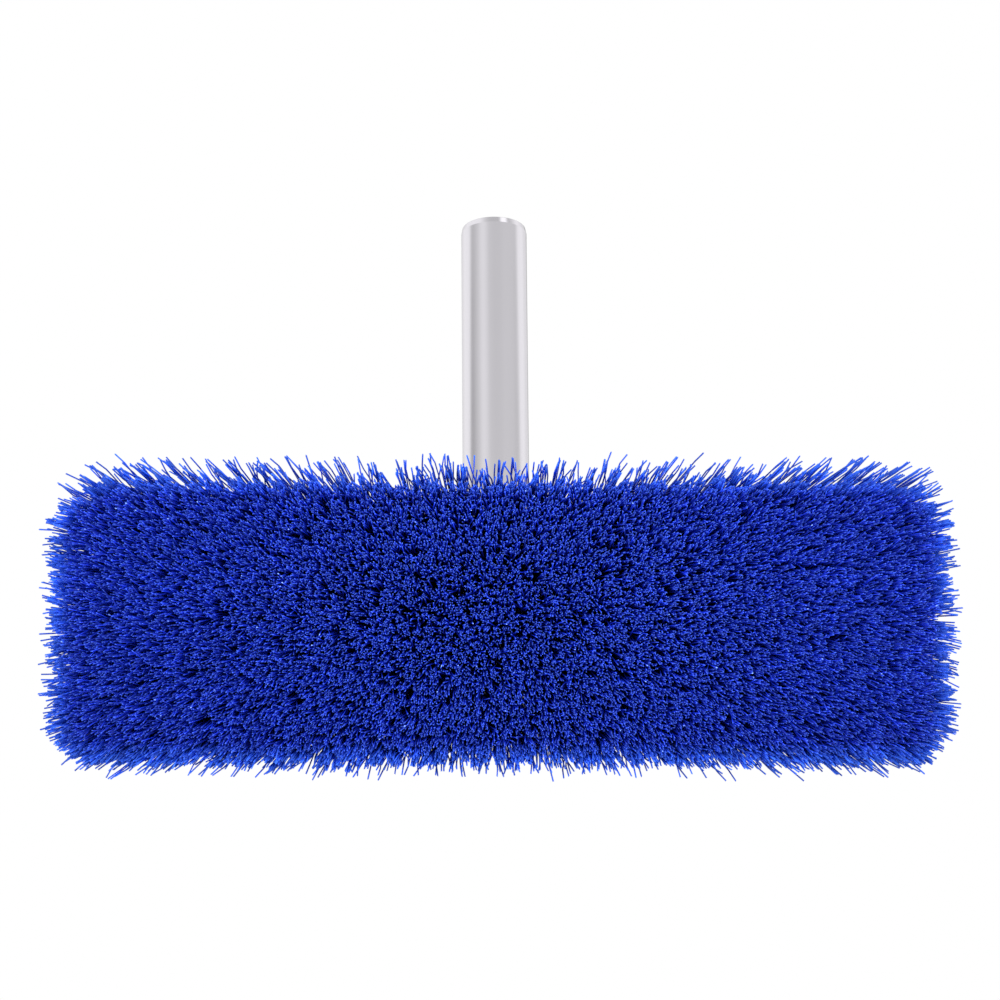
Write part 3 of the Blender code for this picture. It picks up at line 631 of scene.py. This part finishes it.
def thin_spots(points, settings, rng):
    """Share of the filaments that are left at each point, with many small gaps scattered over the field."""
    left = np.ones(len(points))
    half = np.array([settings.field_length, settings.field_width]) / 2
    for _ in range(settings.gap_count):
        away = points - rng.uniform(-1, 1, 2) * half
        turn = rng.uniform(0, math.pi)
        along = away @ (math.cos(turn), math.sin(turn)) / settings.gap_stretch
        across = away @ (-math.sin(turn), math.cos(turn))
        left[np.hypot(along, across) < settings.gap_radius * rng.uniform(*GAP_RANGE)] = settings.gap_share
    return left


def field_tips(settings, rng):
    """Places of the tips in the field, thinning out past its edges."""
    area = settings.field_length * settings.field_width - (4 - math.pi) * settings.far_corner**2
    pitch = math.sqrt(area / settings.count / settings.border_density)
    halves = settings.field_length / 2, settings.field_width / 2
    axes = [np.arange(-half - BORDER_REACH, half + BORDER_REACH, pitch) for half in halves]
    points = np.stack([axis.ravel() for axis in np.meshgrid(*axes)], axis=1)
    points = points + rng.uniform(-GRID_JITTER, GRID_JITTER, points.shape) * pitch
    past, at_end = past_border(points, settings)
    handle_side = np.interp(past, HANDLE_STEPS, HANDLE_CROWDING)
    far_side = np.interp(past, FAR_STEPS, FAR_CROWDING)
    sides = np.where(points[:, 1] > 0, handle_side, far_side)
    density = np.where(at_end, np.interp(past, END_STEPS, END_CROWDING), sides)
    density = density * thin_spots(points, settings, rng)
    return points[rng.random(len(points)) < density / settings.border_density]


def clumped(tips, pitch, pull, rng):
    """Draws the tips a little towards the nearest of many scattered points."""
    cells = np.floor(tips / pitch).astype(int)
    offset = cells.min(axis=0) - 1
    grid = rng.uniform(0, 1, (*(cells.max(axis=0) - offset + 2), 2))
    nearest = np.full_like(tips, np.inf)
    for step in np.ndindex(3, 3):
        near = cells + np.array(step) - 1
        centres = (near + grid[tuple((near - offset).T)]) * pitch
        closer = np.hypot(*(centres - tips).T) < np.hypot(*(nearest - tips).T)
        nearest[closer] = centres[closer]
    pull = pull * rng.uniform(*PULL_RANGE, (len(tips), 1))
    return tips + (nearest - tips) * np.minimum(pull, 1)


def filament_paths(settings):
    """Root, tip, bow, kink and own values of every filament, three columns each, and its row."""
    rng = np.random.default_rng(settings.seed)
    roots, rows, along, across = tuft_grid(settings)
    height = BLOCK_LOW.z
    stand = np.minimum(height, settings.filament_length / np.sqrt(1 + along**2 + across**2))
    centres = roots + np.stack([along, across], axis=1) * stand[:, None]
    tips = field_tips(settings, rng)
    side = np.where(tips[:, 1] > 0.5 * tips[:, 1].max(), 1, SIDE_PULL)
    pull = settings.lock_pull + settings.fringe_pull * side * freedom(tips, settings)
    tips = clumped(tips, settings.lock_pitch, pull[:, None], rng)
    tips = clumped(tips, settings.clump_pitch, settings.clump_pull, rng)

    count = len(tips)
    chosen = np.empty(count, int)
    for start in range(0, count, BATCH):
        part = tips[start : start + BATCH]
        away = ((part[:, None] - centres[None]) ** 2).sum(axis=2)
        weight = np.exp(-(away - away.min(axis=1, keepdims=True)) / (2 * settings.mingling**2))
        steps = np.cumsum(weight, axis=1)
        pick = rng.random((len(part), 1)) * steps[:, -1:]
        chosen[start : start + BATCH] = (steps < pick).sum(axis=1)

    offset = (tips - centres[chosen]) / FULL_OFFSET
    offset = offset * FOLLOW_SHARE + rng.normal(0, FOOT_SCATTER, offset.shape)
    size = np.maximum(np.hypot(*offset.T)[:, None], 1)
    feet = roots[chosen] + offset / size * (settings.hole_radius - settings.root_radius * 2)
    flat = np.hypot(*(tips - feet).T)
    longest = settings.filament_length * (1 + LENGTH_SCATTER * rng.standard_normal(count))
    longest = np.maximum(longest, flat * LEAST_STRETCH)
    drop = np.minimum(height, np.sqrt(longest**2 - flat**2))
    drop = drop - settings.unevenness * rng.beta(*SETBACK_SHAPE, count)
    root = np.column_stack([feet, np.full(count, height)]) + (0, BLOCK_MIDDLE, 0)
    tip = np.column_stack([tips, height - drop]) + (0, BLOCK_MIDDLE, 0)
    edge = freedom(tips, settings)[:, None]
    bow = rng.normal(0, settings.bow, (count, 3)) * (1 - BOW_CALM * edge)
    kink = rng.normal(0, settings.kink, (count, 3)) * (1 - KINK_CALM * edge)
    own = np.column_stack([rng.random(count), edge, rng.uniform(0, 2 * math.pi, count)])
    return np.hstack([root, tip, bow, kink, own]), rows[chosen]


def filament_template():
    """One filament of unit size, modelled along Z from 0 to 1."""
    strand = add_rod("filament", 0, 1, 1, 3)
    for height in (MIDDLE_RING, LAST_RING):
        edit(strand, "FACE", lambda points: True)
        bpy.ops.mesh.bisect(plane_co=(0, 0, height), plane_no=(0, 0, 1))
        close_edit()
    points = np.array([vertex.co for vertex in strand.data.vertices])
    faces = [list(face.vertices) for face in strand.data.polygons]
    remove(strand)
    return points, faces


def copy_filaments(name, template, paths, settings):
    """Copies the modelled filament along every path, into one mesh."""
    points, faces = template
    root, tip, bow, kink, own = np.hsplit(paths, 5)
    number, edge, turn = own.T
    share_along = points[:, 2]
    way = (tip - root) / np.linalg.norm(tip - root, axis=1, keepdims=True)
    side = np.cross(way, (0, 1, 0))
    side /= np.linalg.norm(side, axis=1, keepdims=True)
    other = np.cross(way, side)
    cosine, sine = np.cos(turn)[:, None], np.sin(turn)[:, None]
    side, other = side * cosine + other * sine, other * cosine - side * sine
    start = root - way * settings.hole_depth
    t = share_along[None, :, None]

    def sideways(vectors):
        return (vectors - (vectors * way).sum(axis=1, keepdims=True) * way)[:, None]

    peak = np.interp(t, (MIDDLE_RING, LAST_RING, 1), (0, 1, 0))
    outward = (tip - start)[:, None] * (1, 1, 0) * settings.droop * t * (1 - t)
    middle = start[:, None] + (tip - start)[:, None] * t + outward
    middle = middle + sideways(bow) * 4 * t**1.5 * (1 - t) + sideways(kink) * peak
    radius = settings.root_radius + (settings.tip_radius - settings.root_radius) * share_along**0.7
    section = points[:, :2] * radius[:, None]
    rings = side[:, None] * section[:, :1] + other[:, None] * section[:, 1:]
    growth = (1 + settings.fringe_growth * edge)[:, None, None]
    places = (middle + rings * growth).reshape(-1, 3)

    firsts = range(0, len(places), len(points))
    copies = [[first + corner for corner in face] for first in firsts for face in faces]
    mesh = bpy.data.meshes.new(name)
    mesh.from_pydata(places, [], copies)
    mesh.polygons.foreach_set("use_smooth", [len(face) > 3 for face in copies])
    for label, values in (("along", share_along), ("number", number[:, None]), ("edge", edge[:, None])):
        values = np.broadcast_to(values, (len(paths), len(points))).ravel()
        mesh.attributes.new(label, "FLOAT", "POINT").data.foreach_set("value", values)
    return new_piece(name, mesh)


class WASHBRUSH_OT_bristles(bpy.types.Operator):
    """Grow the blue filaments, one piece for each row of tufts"""

    bl_idname = "washbrush.bristles"
    bl_label = "Bristles"

    def execute(self, context):
        settings = context.scene.wash_bristles
        template = filament_template()
        paths, rows = filament_paths(settings)
        material = filament_material(settings)
        for row, node in enumerate(BRISTLE_ROWS):
            piece = copy_filaments(f"filaments_{row + 1}", template, paths[rows == row], settings)
            finish_piece(piece, material, "bristles", node)
        print("filaments", len(paths), "by row", np.bincount(rows).tolist())
        return {"FINISHED"}


# Block

TUFT_HOLE_DEPTH = 0.006


def tuft_hole_tool(settings):
    """All the tuft holes in one tool, each leaning with its tuft."""
    roots, _, along, across = tuft_grid(settings)
    rods = []
    for (x, y), slope_x, slope_y in zip(roots, along, across):
        lean = Vector((slope_x, slope_y, -1)).to_track_quat("Z", "Y").to_matrix().to_4x4()
        place = Matrix.Translation((x, y + BLOCK_MIDDLE, BLOCK_LOW.z)) @ lean
        ends = -TUFT_HOLE_DEPTH, 2 * OVERRUN
        rods.append(add_rod("tuft_hole", *ends, settings.hole_radius, TUFT_HOLE_SIDES, place))
    return join("tuft_holes", rods)


class WASHBRUSH_OT_block(bpy.types.Operator):
    """Mould the block, with a hole for every tuft"""

    bl_idname = "washbrush.block"
    bl_label = "Block"

    def execute(self, context):
        settings = context.scene.wash_block
        block = rounded_slab("block", BLOCK_LOW, BLOCK_HIGH, settings.corner)
        for height in (BLOCK_LOW.z, BLOCK_HIGH.z):
            bevel_where(block, at_height(height), settings.edge, 4)
        combine(block, "DIFFERENCE", tuft_hole_tool(context.scene.wash_bristles))
        shade(block)
        values = {"Colour": (*settings.white, 1), "Mottle": 0.05, "Roughness": 0.42, "Grain scale": 1500.0}
        material = surface_material("White block plastic", "Moulded surface", values, 0.0, 0.12, 0.0002)
        finish_piece(block, material, "block", "bristle_block")
        return {"FINISHED"}


# Cover

# How far joined parts run into each other, and the radius of the flange's upper edge
SINK = 0.001
FLANGE_EDGE = 0.001
# The closed end of the socket: inset from the dome's far side, thickness and width of the tube's stop
BACK_INSET = 0.0065
BACK_STEP = 0.0003
STOP_THICKNESS = 0.0027
STOP_WIDTH = 0.0025
PASSAGE_DEPTH = 0.006
# The collar's setback and edges, and the boss of the tube's screw
COLLAR_SETBACK = 0.0003
COLLAR_EDGE = 0.0007
BOSS_FOOT = 0.0152
BOSS_RISE = 0.0015
BOSS_RADIUS = 0.0048
BOSS_EDGE = 0.0005
# The ribs beside the socket and the web under its mouth
PLATE_THICKNESS = 0.004
RIB_REACH = 0.062
RIB_RISE = 0.011
RIB_SHIFT = 0.006
RIB_EDGE = 0.0012
WEB_REACH = 0.00825
WEB_SETBACK = 0.004
# How far the screw holes reach up and down from the screws' middles
SCREW_REACH = 0.02
# The ribs of the flange: how far they start inside the wall, and shares of the block, inset and dome
WALL_DEPTH = 0.003
FLANGE_RIB_THICKNESS = 0.0025
FLANGE_RIB_SPOTS = (0.10, 0.45, 0.63)
FLANGE_RIB_REACH = 0.72
FLANGE_RIB_RISE = 0.62


def add_plate(name, outline, place, thickness=PLATE_THICKNESS):
    """A flat plate in the local XY plane of a place, from a closed outline."""
    mesh = bpy.data.meshes.new(name)
    mesh.from_pydata([(u, v, -thickness / 2) for u, v in outline], [], [list(range(len(outline)))])
    plate = new_piece(name, mesh)
    edit(plate, "FACE", lambda points: True)
    bpy.ops.mesh.extrude_region_move(TRANSFORM_OT_translate={"value": (0, 0, thickness)})
    bpy.ops.mesh.select_all(action="SELECT")
    bpy.ops.mesh.normals_make_consistent(inside=False)
    close_edit()
    return apply_place(plate, place)


def across_place(x):
    """A place along the block with local X towards the handle and local Y up."""
    return Matrix(((0, 0, 1, x), (1, 0, 0, BLOCK_MIDDLE), (0, 1, 0, 0), (0, 0, 0, 1)))


def screw_spots():
    """Where the cover's screws stand, read from the packed screws."""
    return [(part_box(name)[0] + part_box(name)[1]) / 2 for name in COVER_SCREWS]


class WASHBRUSH_OT_cover(bpy.types.Operator):
    """Mould the cover: flange, dome, socket, collar, boss and ribs"""

    bl_idname = "washbrush.cover"
    bl_label = "Cover"

    def execute(self, context):
        settings = context.scene.wash_cover
        tube = context.scene.wash_tube
        place = socket_place()
        under = BLOCK_HIGH.z + settings.gap
        flange_top = under + settings.flange
        dome_top = flange_top + settings.dome_height
        low = (BLOCK_LOW.x, BLOCK_LOW.y, under)
        high = (BLOCK_HIGH.x, BLOCK_HIGH.y, flange_top)
        cover = rounded_slab("cover", low, high, context.scene.wash_block.corner)
        bevel_where(cover, at_height(flange_top), FLANGE_EDGE, 3)

        low = (BLOCK_LOW.x + settings.end_inset, BLOCK_LOW.y + settings.side_inset, under + SINK)
        high = (BLOCK_HIGH.x - settings.end_inset, BLOCK_HIGH.y - settings.side_inset, dome_top)
        dome = rounded_slab("dome", low, high, settings.dome_corner, settings.dome_draft)
        bevel_where(dome, at_height(dome_top), settings.dome_edge, 8)
        dome_half = (high[1] - low[1]) / 2

        socket = self.socket(settings, tube.lean, place, dome_top, dome_half)
        ribs = [self.side_ribs(dome_top, settings.socket_radius)]
        ribs.append(self.mouth_web(flange_top, dome_half, place, settings.socket_depth))
        combine(cover, "UNION", dome, *socket, *ribs, *self.flange_ribs(flange_top, dome_half, settings))

        depth = settings.socket_depth
        bore = tube.diameter / 2 + settings.gap
        ends = bore - OVERRUN, settings.socket_radius + 2 * OVERRUN
        holes = [
            add_box("below", (-BEYOND, -BEYOND, -BEYOND), (BEYOND, BEYOND, under)),
            add_rod("bore", 0, depth + OVERRUN, bore, SOCKET_SIDES, place),
            add_rod("passage", -PASSAGE_DEPTH, OVERRUN, bore - STOP_WIDTH, SOCKET_SIDES, place),
            add_rod("tube_screw_hole", *ends, SCREW_HOLE_RADIUS, HOLE_SIDES, tube_screw_place()),
        ]
        ends = -SCREW_REACH, SCREW_REACH
        for spot in screw_spots():
            spot = Matrix.Translation(spot)
            holes.append(add_rod("screw_hole", *ends, SCREW_HOLE_RADIUS, HOLE_SIDES, spot))
        combine(cover, "DIFFERENCE", *holes)
        shade(cover)
        values = {"Colour": (*settings.white, 1), "Mottle": 0.04, "Roughness": 0.3, "Grain scale": 1200.0}
        material = surface_material("White cover plastic", "Moulded surface", values, 0.0, 0.08, 0.0002)
        finish_piece(cover, material, "cover", "back_cover")
        return {"FINISHED"}

    def socket(self, settings, lean, place, dome_top, dome_half):
        """The socket with its sloping back, its collar and the boss of the tube's screw."""
        radius = settings.socket_radius
        depth = settings.socket_depth
        back = (dome_half - BACK_INSET + place.translation.y - BLOCK_MIDDLE) / math.cos(lean)
        back_radius = (dome_top - SINK - place.translation.z + back * math.sin(lean)) / math.cos(lean)
        collar_radius = radius + settings.collar_height
        ends = depth - settings.collar_width, depth - COLLAR_SETBACK
        collar = add_rod("collar", *ends, collar_radius, SOCKET_SIDES)
        bevel_where(collar, is_level, COLLAR_EDGE, 3)
        boss = add_rod("boss", BOSS_FOOT, radius + BOSS_RISE, BOSS_RADIUS, BOSS_SIDES)
        bevel_where(boss, at_height(radius + BOSS_RISE), BOSS_EDGE, 3)
        return (
            add_rod("socket", -STOP_THICKNESS, depth, radius, SOCKET_SIDES, place),
            add_rod("socket_back", -back, 0, back_radius, SOCKET_SIDES, place, radius - BACK_STEP),
            apply_place(collar, place),
            apply_place(boss, tube_screw_place()),
        )

    def side_ribs(self, dome_top, radius):
        half = [(RIB_REACH, dome_top - SINK), (RIB_REACH, dome_top + SINK), (radius / 2, dome_top + RIB_RISE)]
        outline = half + [(-x, z) for x, z in reversed(half)]
        place = Matrix.Translation((0, BLOCK_MIDDLE + RIB_SHIFT, 0)) @ QUARTER_TURN
        ribs = add_plate("side_ribs", outline, place)

        def upper_edge(points):
            above = min(point.z for point in points) > dome_top + SINK / 2
            return above and abs(points[0].y - points[1].y) < 0.0001

        bevel_where(ribs, upper_edge, RIB_EDGE, 4)
        return ribs

    def mouth_web(self, flange_top, dome_half, place, depth):
        end = place @ Vector((0, 0, depth - WEB_SETBACK))
        start = place.translation
        outline = [
            (dome_half - WALL_DEPTH, flange_top - SINK),
            (dome_half + WEB_REACH, flange_top - SINK),
            (end.y - BLOCK_MIDDLE, end.z),
            (start.y - BLOCK_MIDDLE, start.z),
        ]
        return add_plate("mouth_web", outline, across_place(0))

    def flange_ribs(self, flange_top, dome_half, settings):
        foot = flange_top - SINK
        wall = dome_half - WALL_DEPTH + settings.dome_draft / 2
        edge = dome_half + FLANGE_RIB_REACH * settings.side_inset
        top = flange_top + FLANGE_RIB_RISE * settings.dome_height
        corners = (wall, foot), (edge, foot), (edge, flange_top), (wall, top)
        ribs = []
        for part in FLANGE_RIB_SPOTS:
            for x in (-part * BLOCK_HIGH.x, part * BLOCK_HIGH.x):
                for side in (-1, 1):
                    outline = [(side * y, z) for y, z in corners]
                    ribs.append(add_plate("flange_rib", outline, across_place(x), FLANGE_RIB_THICKNESS))
        return ribs


# Tube


class WASHBRUSH_OT_tube(bpy.types.Operator):
    """Draw the handle tube, open at both ends, with a rounded rim"""

    bl_idname = "washbrush.tube"
    bl_label = "Handle tube"

    def execute(self, context):
        settings = context.scene.wash_tube
        radius = settings.diameter / 2
        low = context.scene.wash_cover.gap
        high = low + settings.tube_length
        tube = add_rod("tube", low, high, radius, TUBE_SIDES)
        edit(tube, "FACE", lambda points: len(points) > 4)
        bpy.ops.mesh.delete(type="FACE")
        close_edit()
        apply_modifier(tube, "SOLIDIFY", thickness=settings.wall, offset=-1, use_even_offset=True)

        def outer_rim(points):
            at_end = all(abs(point.z - high) < SAME_HEIGHT for point in points)
            return at_end and min(point.xy.length for point in points) > radius - settings.wall / 4

        bevel_where(tube, outer_rim, settings.rim, 1)
        edit(tube, "VERT", lambda points: points[0].z > high - settings.rim - SAME_HEIGHT)
        stretch = (1, 1, settings.rim_reach / settings.rim)
        bpy.ops.transform.resize(value=stretch, center_override=(0, 0, high))
        close_edit()
        bevel_where(tube, at_height(high), settings.rim_round, 6)
        apply_place(tube, socket_place())
        ends = radius - 2 * OVERRUN, radius + 2 * OVERRUN
        hole = add_rod("hole", *ends, SCREW_HOLE_RADIUS, HOLE_SIDES, tube_screw_place())
        combine(tube, "DIFFERENCE", hole)
        shade(tube, 10)
        values = {"Colour": (*settings.silver, 1), "Line scale": 2600.0, "Roughness": 0.16, "Scratches": 0.05}
        turned = (math.pi / 2 - settings.lean, 0, 0)
        material = surface_material("Polished aluminium", "Drawn metal", values, 1.0, 0.02, 0.0001, turned)
        finish_piece(tube, material, "tube", "handle_tube")
        return {"FINISHED"}


# Screws

# The head's rounding, the shank with its point, and the tool that cuts the cross recess
HEAD_ROUND = 0.0016
HEAD_EDGE = 0.0002
SHANK_LENGTH = 0.0115
SHANK_SINK = 0.0005
POINT_SHARE = 0.4
SLOT_DEPTH = 0.0013
SLOT_RISE = 0.001
SLOT_REACH = 0.0019
SLOT_HALF_WIDTH = 0.00035
SLOT_FLOOR = 0.55
# How far the tube screw's seat stands off the socket, and the turn from one cover screw to the next
TUBE_SCREW_RISE = 0.0018
SCREW_TURN = math.radians(137.5)


def screw_template(settings):
    """A pan-head screw with a cross recess, seated at the origin with its head up."""
    height = settings.head_height
    screw = add_rod("screw", 0, height, settings.head_diameter / 2, HEAD_SIDES)
    bevel_where(screw, at_height(height), HEAD_ROUND, 6)
    bevel_where(screw, at_height(0), HEAD_EDGE, 2)
    shaft = add_rod("shank", -SHANK_LENGTH, SHANK_SINK, settings.shank_diameter / 2, SHANK_SIDES)
    resize_end(shaft, -SHANK_LENGTH, (POINT_SHARE, POINT_SHARE))
    combine(screw, "UNION", shaft)
    floor = height - SLOT_DEPTH
    for x, y in ((SLOT_REACH, SLOT_HALF_WIDTH), (SLOT_HALF_WIDTH, SLOT_REACH)):
        slot = add_box("slot", (-x, -y, floor), (x, y, height + SLOT_RISE))
        resize_end(slot, floor, (SLOT_FLOOR, SLOT_FLOOR))
        combine(screw, "DIFFERENCE", slot)
    shade(screw, 30)
    return screw


def place_copy(source, name, place):
    """A copy of a piece with its own mesh, put in its place."""
    mesh = source.data.copy()
    mesh.name = name
    mesh.transform(place)
    return new_piece(name, mesh)


class WASHBRUSH_OT_screws(bpy.types.Operator):
    """Turn the pan-head screws and drive them into the cover and the tube"""

    bl_idname = "washbrush.screws"
    bl_label = "Screws"

    def execute(self, context):
        settings = context.scene.wash_screws
        cover = context.scene.wash_cover
        values = {"Colour": (*settings.steel, 1), "Line scale": 3000.0, "Roughness": 0.24, "Scratches": 0.12}
        steel = surface_material("Stainless steel", "Drawn metal", values, 1.0, 0.03, 0.0001)
        model = screw_template(settings)
        seat = BLOCK_HIGH.z + 2 * cover.gap + cover.flange
        for number, (node, spot) in enumerate(zip(COVER_SCREWS, screw_spots()), start=1):
            turn = Matrix.Rotation(SCREW_TURN * number, 4, "Z")
            place = Matrix.Translation((spot.x, spot.y, seat)) @ turn
            finish_piece(place_copy(model, f"flange_screw_{number:02d}", place), steel, "fasteners", node)
        place = tube_screw_place() @ Matrix.Translation((0, 0, cover.socket_radius + TUBE_SCREW_RISE))
        finish_piece(place_copy(model, "retaining_screw", place), steel, "fasteners", "tube_screw")
        remove(model)
        return {"FINISHED"}


class WASHBRUSH_OT_seals(bpy.types.Operator):
    """Give the gasket and the O-rings their black rubber"""

    bl_idname = "washbrush.seals"
    bl_label = "Seals"

    def execute(self, context):
        values = {"Colour": (0.02, 0.02, 0.022, 1), "Mottle": 0.3, "Roughness": 0.6, "Grain scale": 2500.0}
        rubber = surface_material("Black rubber", "Moulded surface", values, 0.0, 0.2, 0.0002)
        for name in SEALS:
            coat(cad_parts[name], rubber)
        return {"FINISHED"}


# Stage

# Greys of the panels that the tube reflects, from its left to its right
PANELS = (-1, 0.60), (-0.91, 0.62), (-0.84, 0.68), (-0.70, 0.70), (-0.50, 0.71), (-0.30, 0.68)
PANELS += (0, 0.665), (0.24, 0.69), (0.34, 0.73), (0.46, 0.83), (0.60, 0.88), (0.70, 0.84)
PANELS += (0.80, 0.71), (0.86, 0.63), (0.895, 0.57), (0.93, 0.42)
# Greys of the ceiling, from the horizon up
CEILING = (-1, 1.0), (0.66, 1.0), (0.86, 0.84), (0.97, 0.82), (1, 0.5)
# Directions that the ceiling and the horizon are measured along, and where the horizon fades in
CEILING_WAY = (-0.12, 0.25, 1.0)
HORIZON_WAY = (-0.03, 1.2, 1.0)
HORIZON_FADE = (0.54, 0.65)
# A far wall and a bright spot: how each is measured, from which direction, its fade and its grey
SOFT_SPOTS = (
    ("DOT_PRODUCT", (-0.15, 0.98, 0.0), (0.66, 0.90), 0.60),
    ("DISTANCE", (-0.44, 0.865, -0.237), (0.25, 0.08), 1.3),
)
AMBIENT = (0.55, 0.55, 0.56, 1)
FLOOR_SIZE = 8.0
FLOOR_DROP = 0.0003
LAMP_WIDTH = 0.9
LAMP_TARGET = Vector((0, BLOCK_MIDDLE, 0.03))
# Place and power of each lamp
LAMPS = {
    "lamp_above": ((0.35, 0.25, 1.3), 9.0),
    "lamp_below_left": ((0.75, 0.30, -1.1), 10.0),
    "lamp_below_right": ((-0.75, 0.30, -1.1), 10.0),
}
SENSOR_WIDTH = 36.0


def floor_material(settings):
    """Pale from above. From below, and to light that passes, the floor isn't there."""
    material, tree, shader = new_material("Pale floor", 0.0, 0.2)
    shader.inputs["Base Color"].default_value = (*settings.floor_pale, 1)
    shader.inputs["Roughness"].default_value = 0.8
    path = add_node(tree, "LightPath")
    side = add_node(tree, "NewGeometry")
    seen = math_node(tree, "SUBTRACT", 1.0, side.outputs["Backfacing"])
    seen = math_node(tree, "MULTIPLY", seen, path.outputs["Is Camera Ray"])
    clear = add_node(tree, "BsdfTransparent")
    mix = add_node(tree, "MixShader", {0: seen, 1: clear.outputs[0], 2: shader.outputs[0]})
    tree.links.new(mix.outputs[0], tree.nodes["Material Output"].inputs["Surface"])
    return material


def grey(level):
    return level, level, level, 1


def grey_ramp(tree, value, steps):
    """A ramp of greys over a value from -1 to 1."""
    ramp = add_node(tree, "ValToRGB", {0: math_node(tree, "MULTIPLY_ADD", value, 0.5, 0.5)})
    stops = ramp.color_ramp.elements
    while len(stops) < len(steps):
        stops.new(0.5)
    for stop, (position, level) in zip(stops, steps):
        stop.position = position / 2 + 0.5
        stop.color = grey(level)
    return ramp.outputs[0]


def build_world():
    """White to the camera, an even grey for soft light, and a studio of panels for reflections."""
    world = bpy.data.worlds.new("Studio")
    bpy.context.scene.world = world
    world.use_nodes = True
    tree = world.node_tree
    background = tree.nodes["Background"]
    path = add_node(tree, "LightPath")
    way = add_node(tree, "TexCoord").outputs["Generated"]
    parts = add_node(tree, "SeparateXYZ", {0: way}).outputs
    below = grey_ramp(tree, parts["X"], PANELS)
    above = grey_ramp(tree, vector_math(tree, "DOT_PRODUCT", way, CEILING_WAY), CEILING)
    rise = ramp_value(tree, vector_math(tree, "DOT_PRODUCT", way, HORIZON_WAY), *HORIZON_FADE)
    level = mix_colour(tree, rise, below, above)
    for operation, spot, fade, brightness in SOFT_SPOTS:
        near = ramp_value(tree, vector_math(tree, operation, way, spot), *fade)
        level = mix_colour(tree, near, level, grey(brightness))
    ambient = mix_colour(tree, path.outputs["Is Glossy Ray"], AMBIENT, level)
    seen = math_node(tree, "MAXIMUM", path.outputs["Is Camera Ray"], path.outputs["Is Transmission Ray"])
    tree.links.new(mix_colour(tree, seen, ambient, grey(1)), background.inputs["Color"])
    background.inputs["Strength"].default_value = 1.0


def add_lamp(name, spot, power):
    bpy.ops.object.light_add(type="AREA", location=spot)
    lamp = newest(name)
    lamp.data.shape = "DISK"
    lamp.data.size = LAMP_WIDTH
    lamp.data.energy = power
    lamp.rotation_euler = (LAMP_TARGET - Vector(spot)).to_track_quat("-Z", "Y").to_euler()
    lamp.visible_glossy = False


class WASHBRUSH_OT_stage(bpy.types.Operator):
    """Set the pale floor, the soft light and the camera"""

    bl_idname = "washbrush.stage"
    bl_label = "Stage"

    def execute(self, context):
        settings = context.scene.wash_stage
        context.scene.view_settings.view_transform = "Standard"
        bpy.ops.mesh.primitive_plane_add(size=FLOOR_SIZE, location=(0, 0, -FLOOR_DROP))
        floor = apply_place(newest("floor"))
        coat(floor, floor_material(settings))
        build_world()
        for name, (spot, power) in LAMPS.items():
            add_lamp(name, spot, power)

        data = bpy.data.cameras.new("camera")
        data.sensor_width = SENSOR_WIDTH
        data.lens = SENSOR_WIDTH / 2 / math.tan(settings.view / 2)
        camera = new_piece("camera", data)
        spot = Vector((settings.aside, BLOCK_MIDDLE, -settings.distance))
        forward = (Vector((settings.aim_aside, BLOCK_MIDDLE + settings.aim, 0)) - spot).normalized()
        right = forward.cross(Vector((0, 1, 0))).normalized()
        turn = Matrix((right, right.cross(forward), -forward)).transposed().to_4x4()
        camera.matrix_world = Matrix.Translation(spot) @ turn
        context.scene.camera = camera
        return {"FINISHED"}


# Panel and registration

OPERATORS = (
    WASHBRUSH_OT_stage,
    WASHBRUSH_OT_block,
    WASHBRUSH_OT_bristles,
    WASHBRUSH_OT_cover,
    WASHBRUSH_OT_tube,
    WASHBRUSH_OT_screws,
    WASHBRUSH_OT_seals,
)


class WASHBRUSH_PT_panel(bpy.types.Panel):
    """Sizes, colours and steps of the wash brush head"""

    bl_label = "Wash Brush Head"
    bl_idname = "WASHBRUSH_PT_panel"
    bl_space_type = "VIEW_3D"
    bl_region_type = "UI"
    bl_category = "Wash Brush"

    def draw(self, context):
        for operator in OPERATORS:
            self.layout.operator(operator.bl_idname)
        for name, group in SETTINGS.items():
            box = self.layout.box()
            box.label(text=group.__doc__)
            for setting in group.__annotations__:
                box.prop(getattr(context.scene, name), setting)


def register():
    for group in SETTINGS.values():
        bpy.utils.register_class(group)
    for name, group in SETTINGS.items():
        setattr(bpy.types.Scene, name, PointerProperty(type=group))
    for operator in OPERATORS:
        bpy.utils.register_class(operator)
    bpy.utils.register_class(WASHBRUSH_PT_panel)


def unregister():
    bpy.utils.unregister_class(WASHBRUSH_PT_panel)
    for operator in reversed(OPERATORS):
        bpy.utils.unregister_class(operator)
    for name, group in SETTINGS.items():
        delattr(bpy.types.Scene, name)
        bpy.utils.unregister_class(group)


def main():
    register()
    bpy.ops.washbrush.stage()
    bpy.ops.washbrush.block()
    bpy.ops.washbrush.bristles()
    bpy.ops.washbrush.cover()
    bpy.ops.washbrush.tube()
    bpy.ops.washbrush.screws()
    bpy.ops.washbrush.seals()


if __name__ == "__main__":
    main()
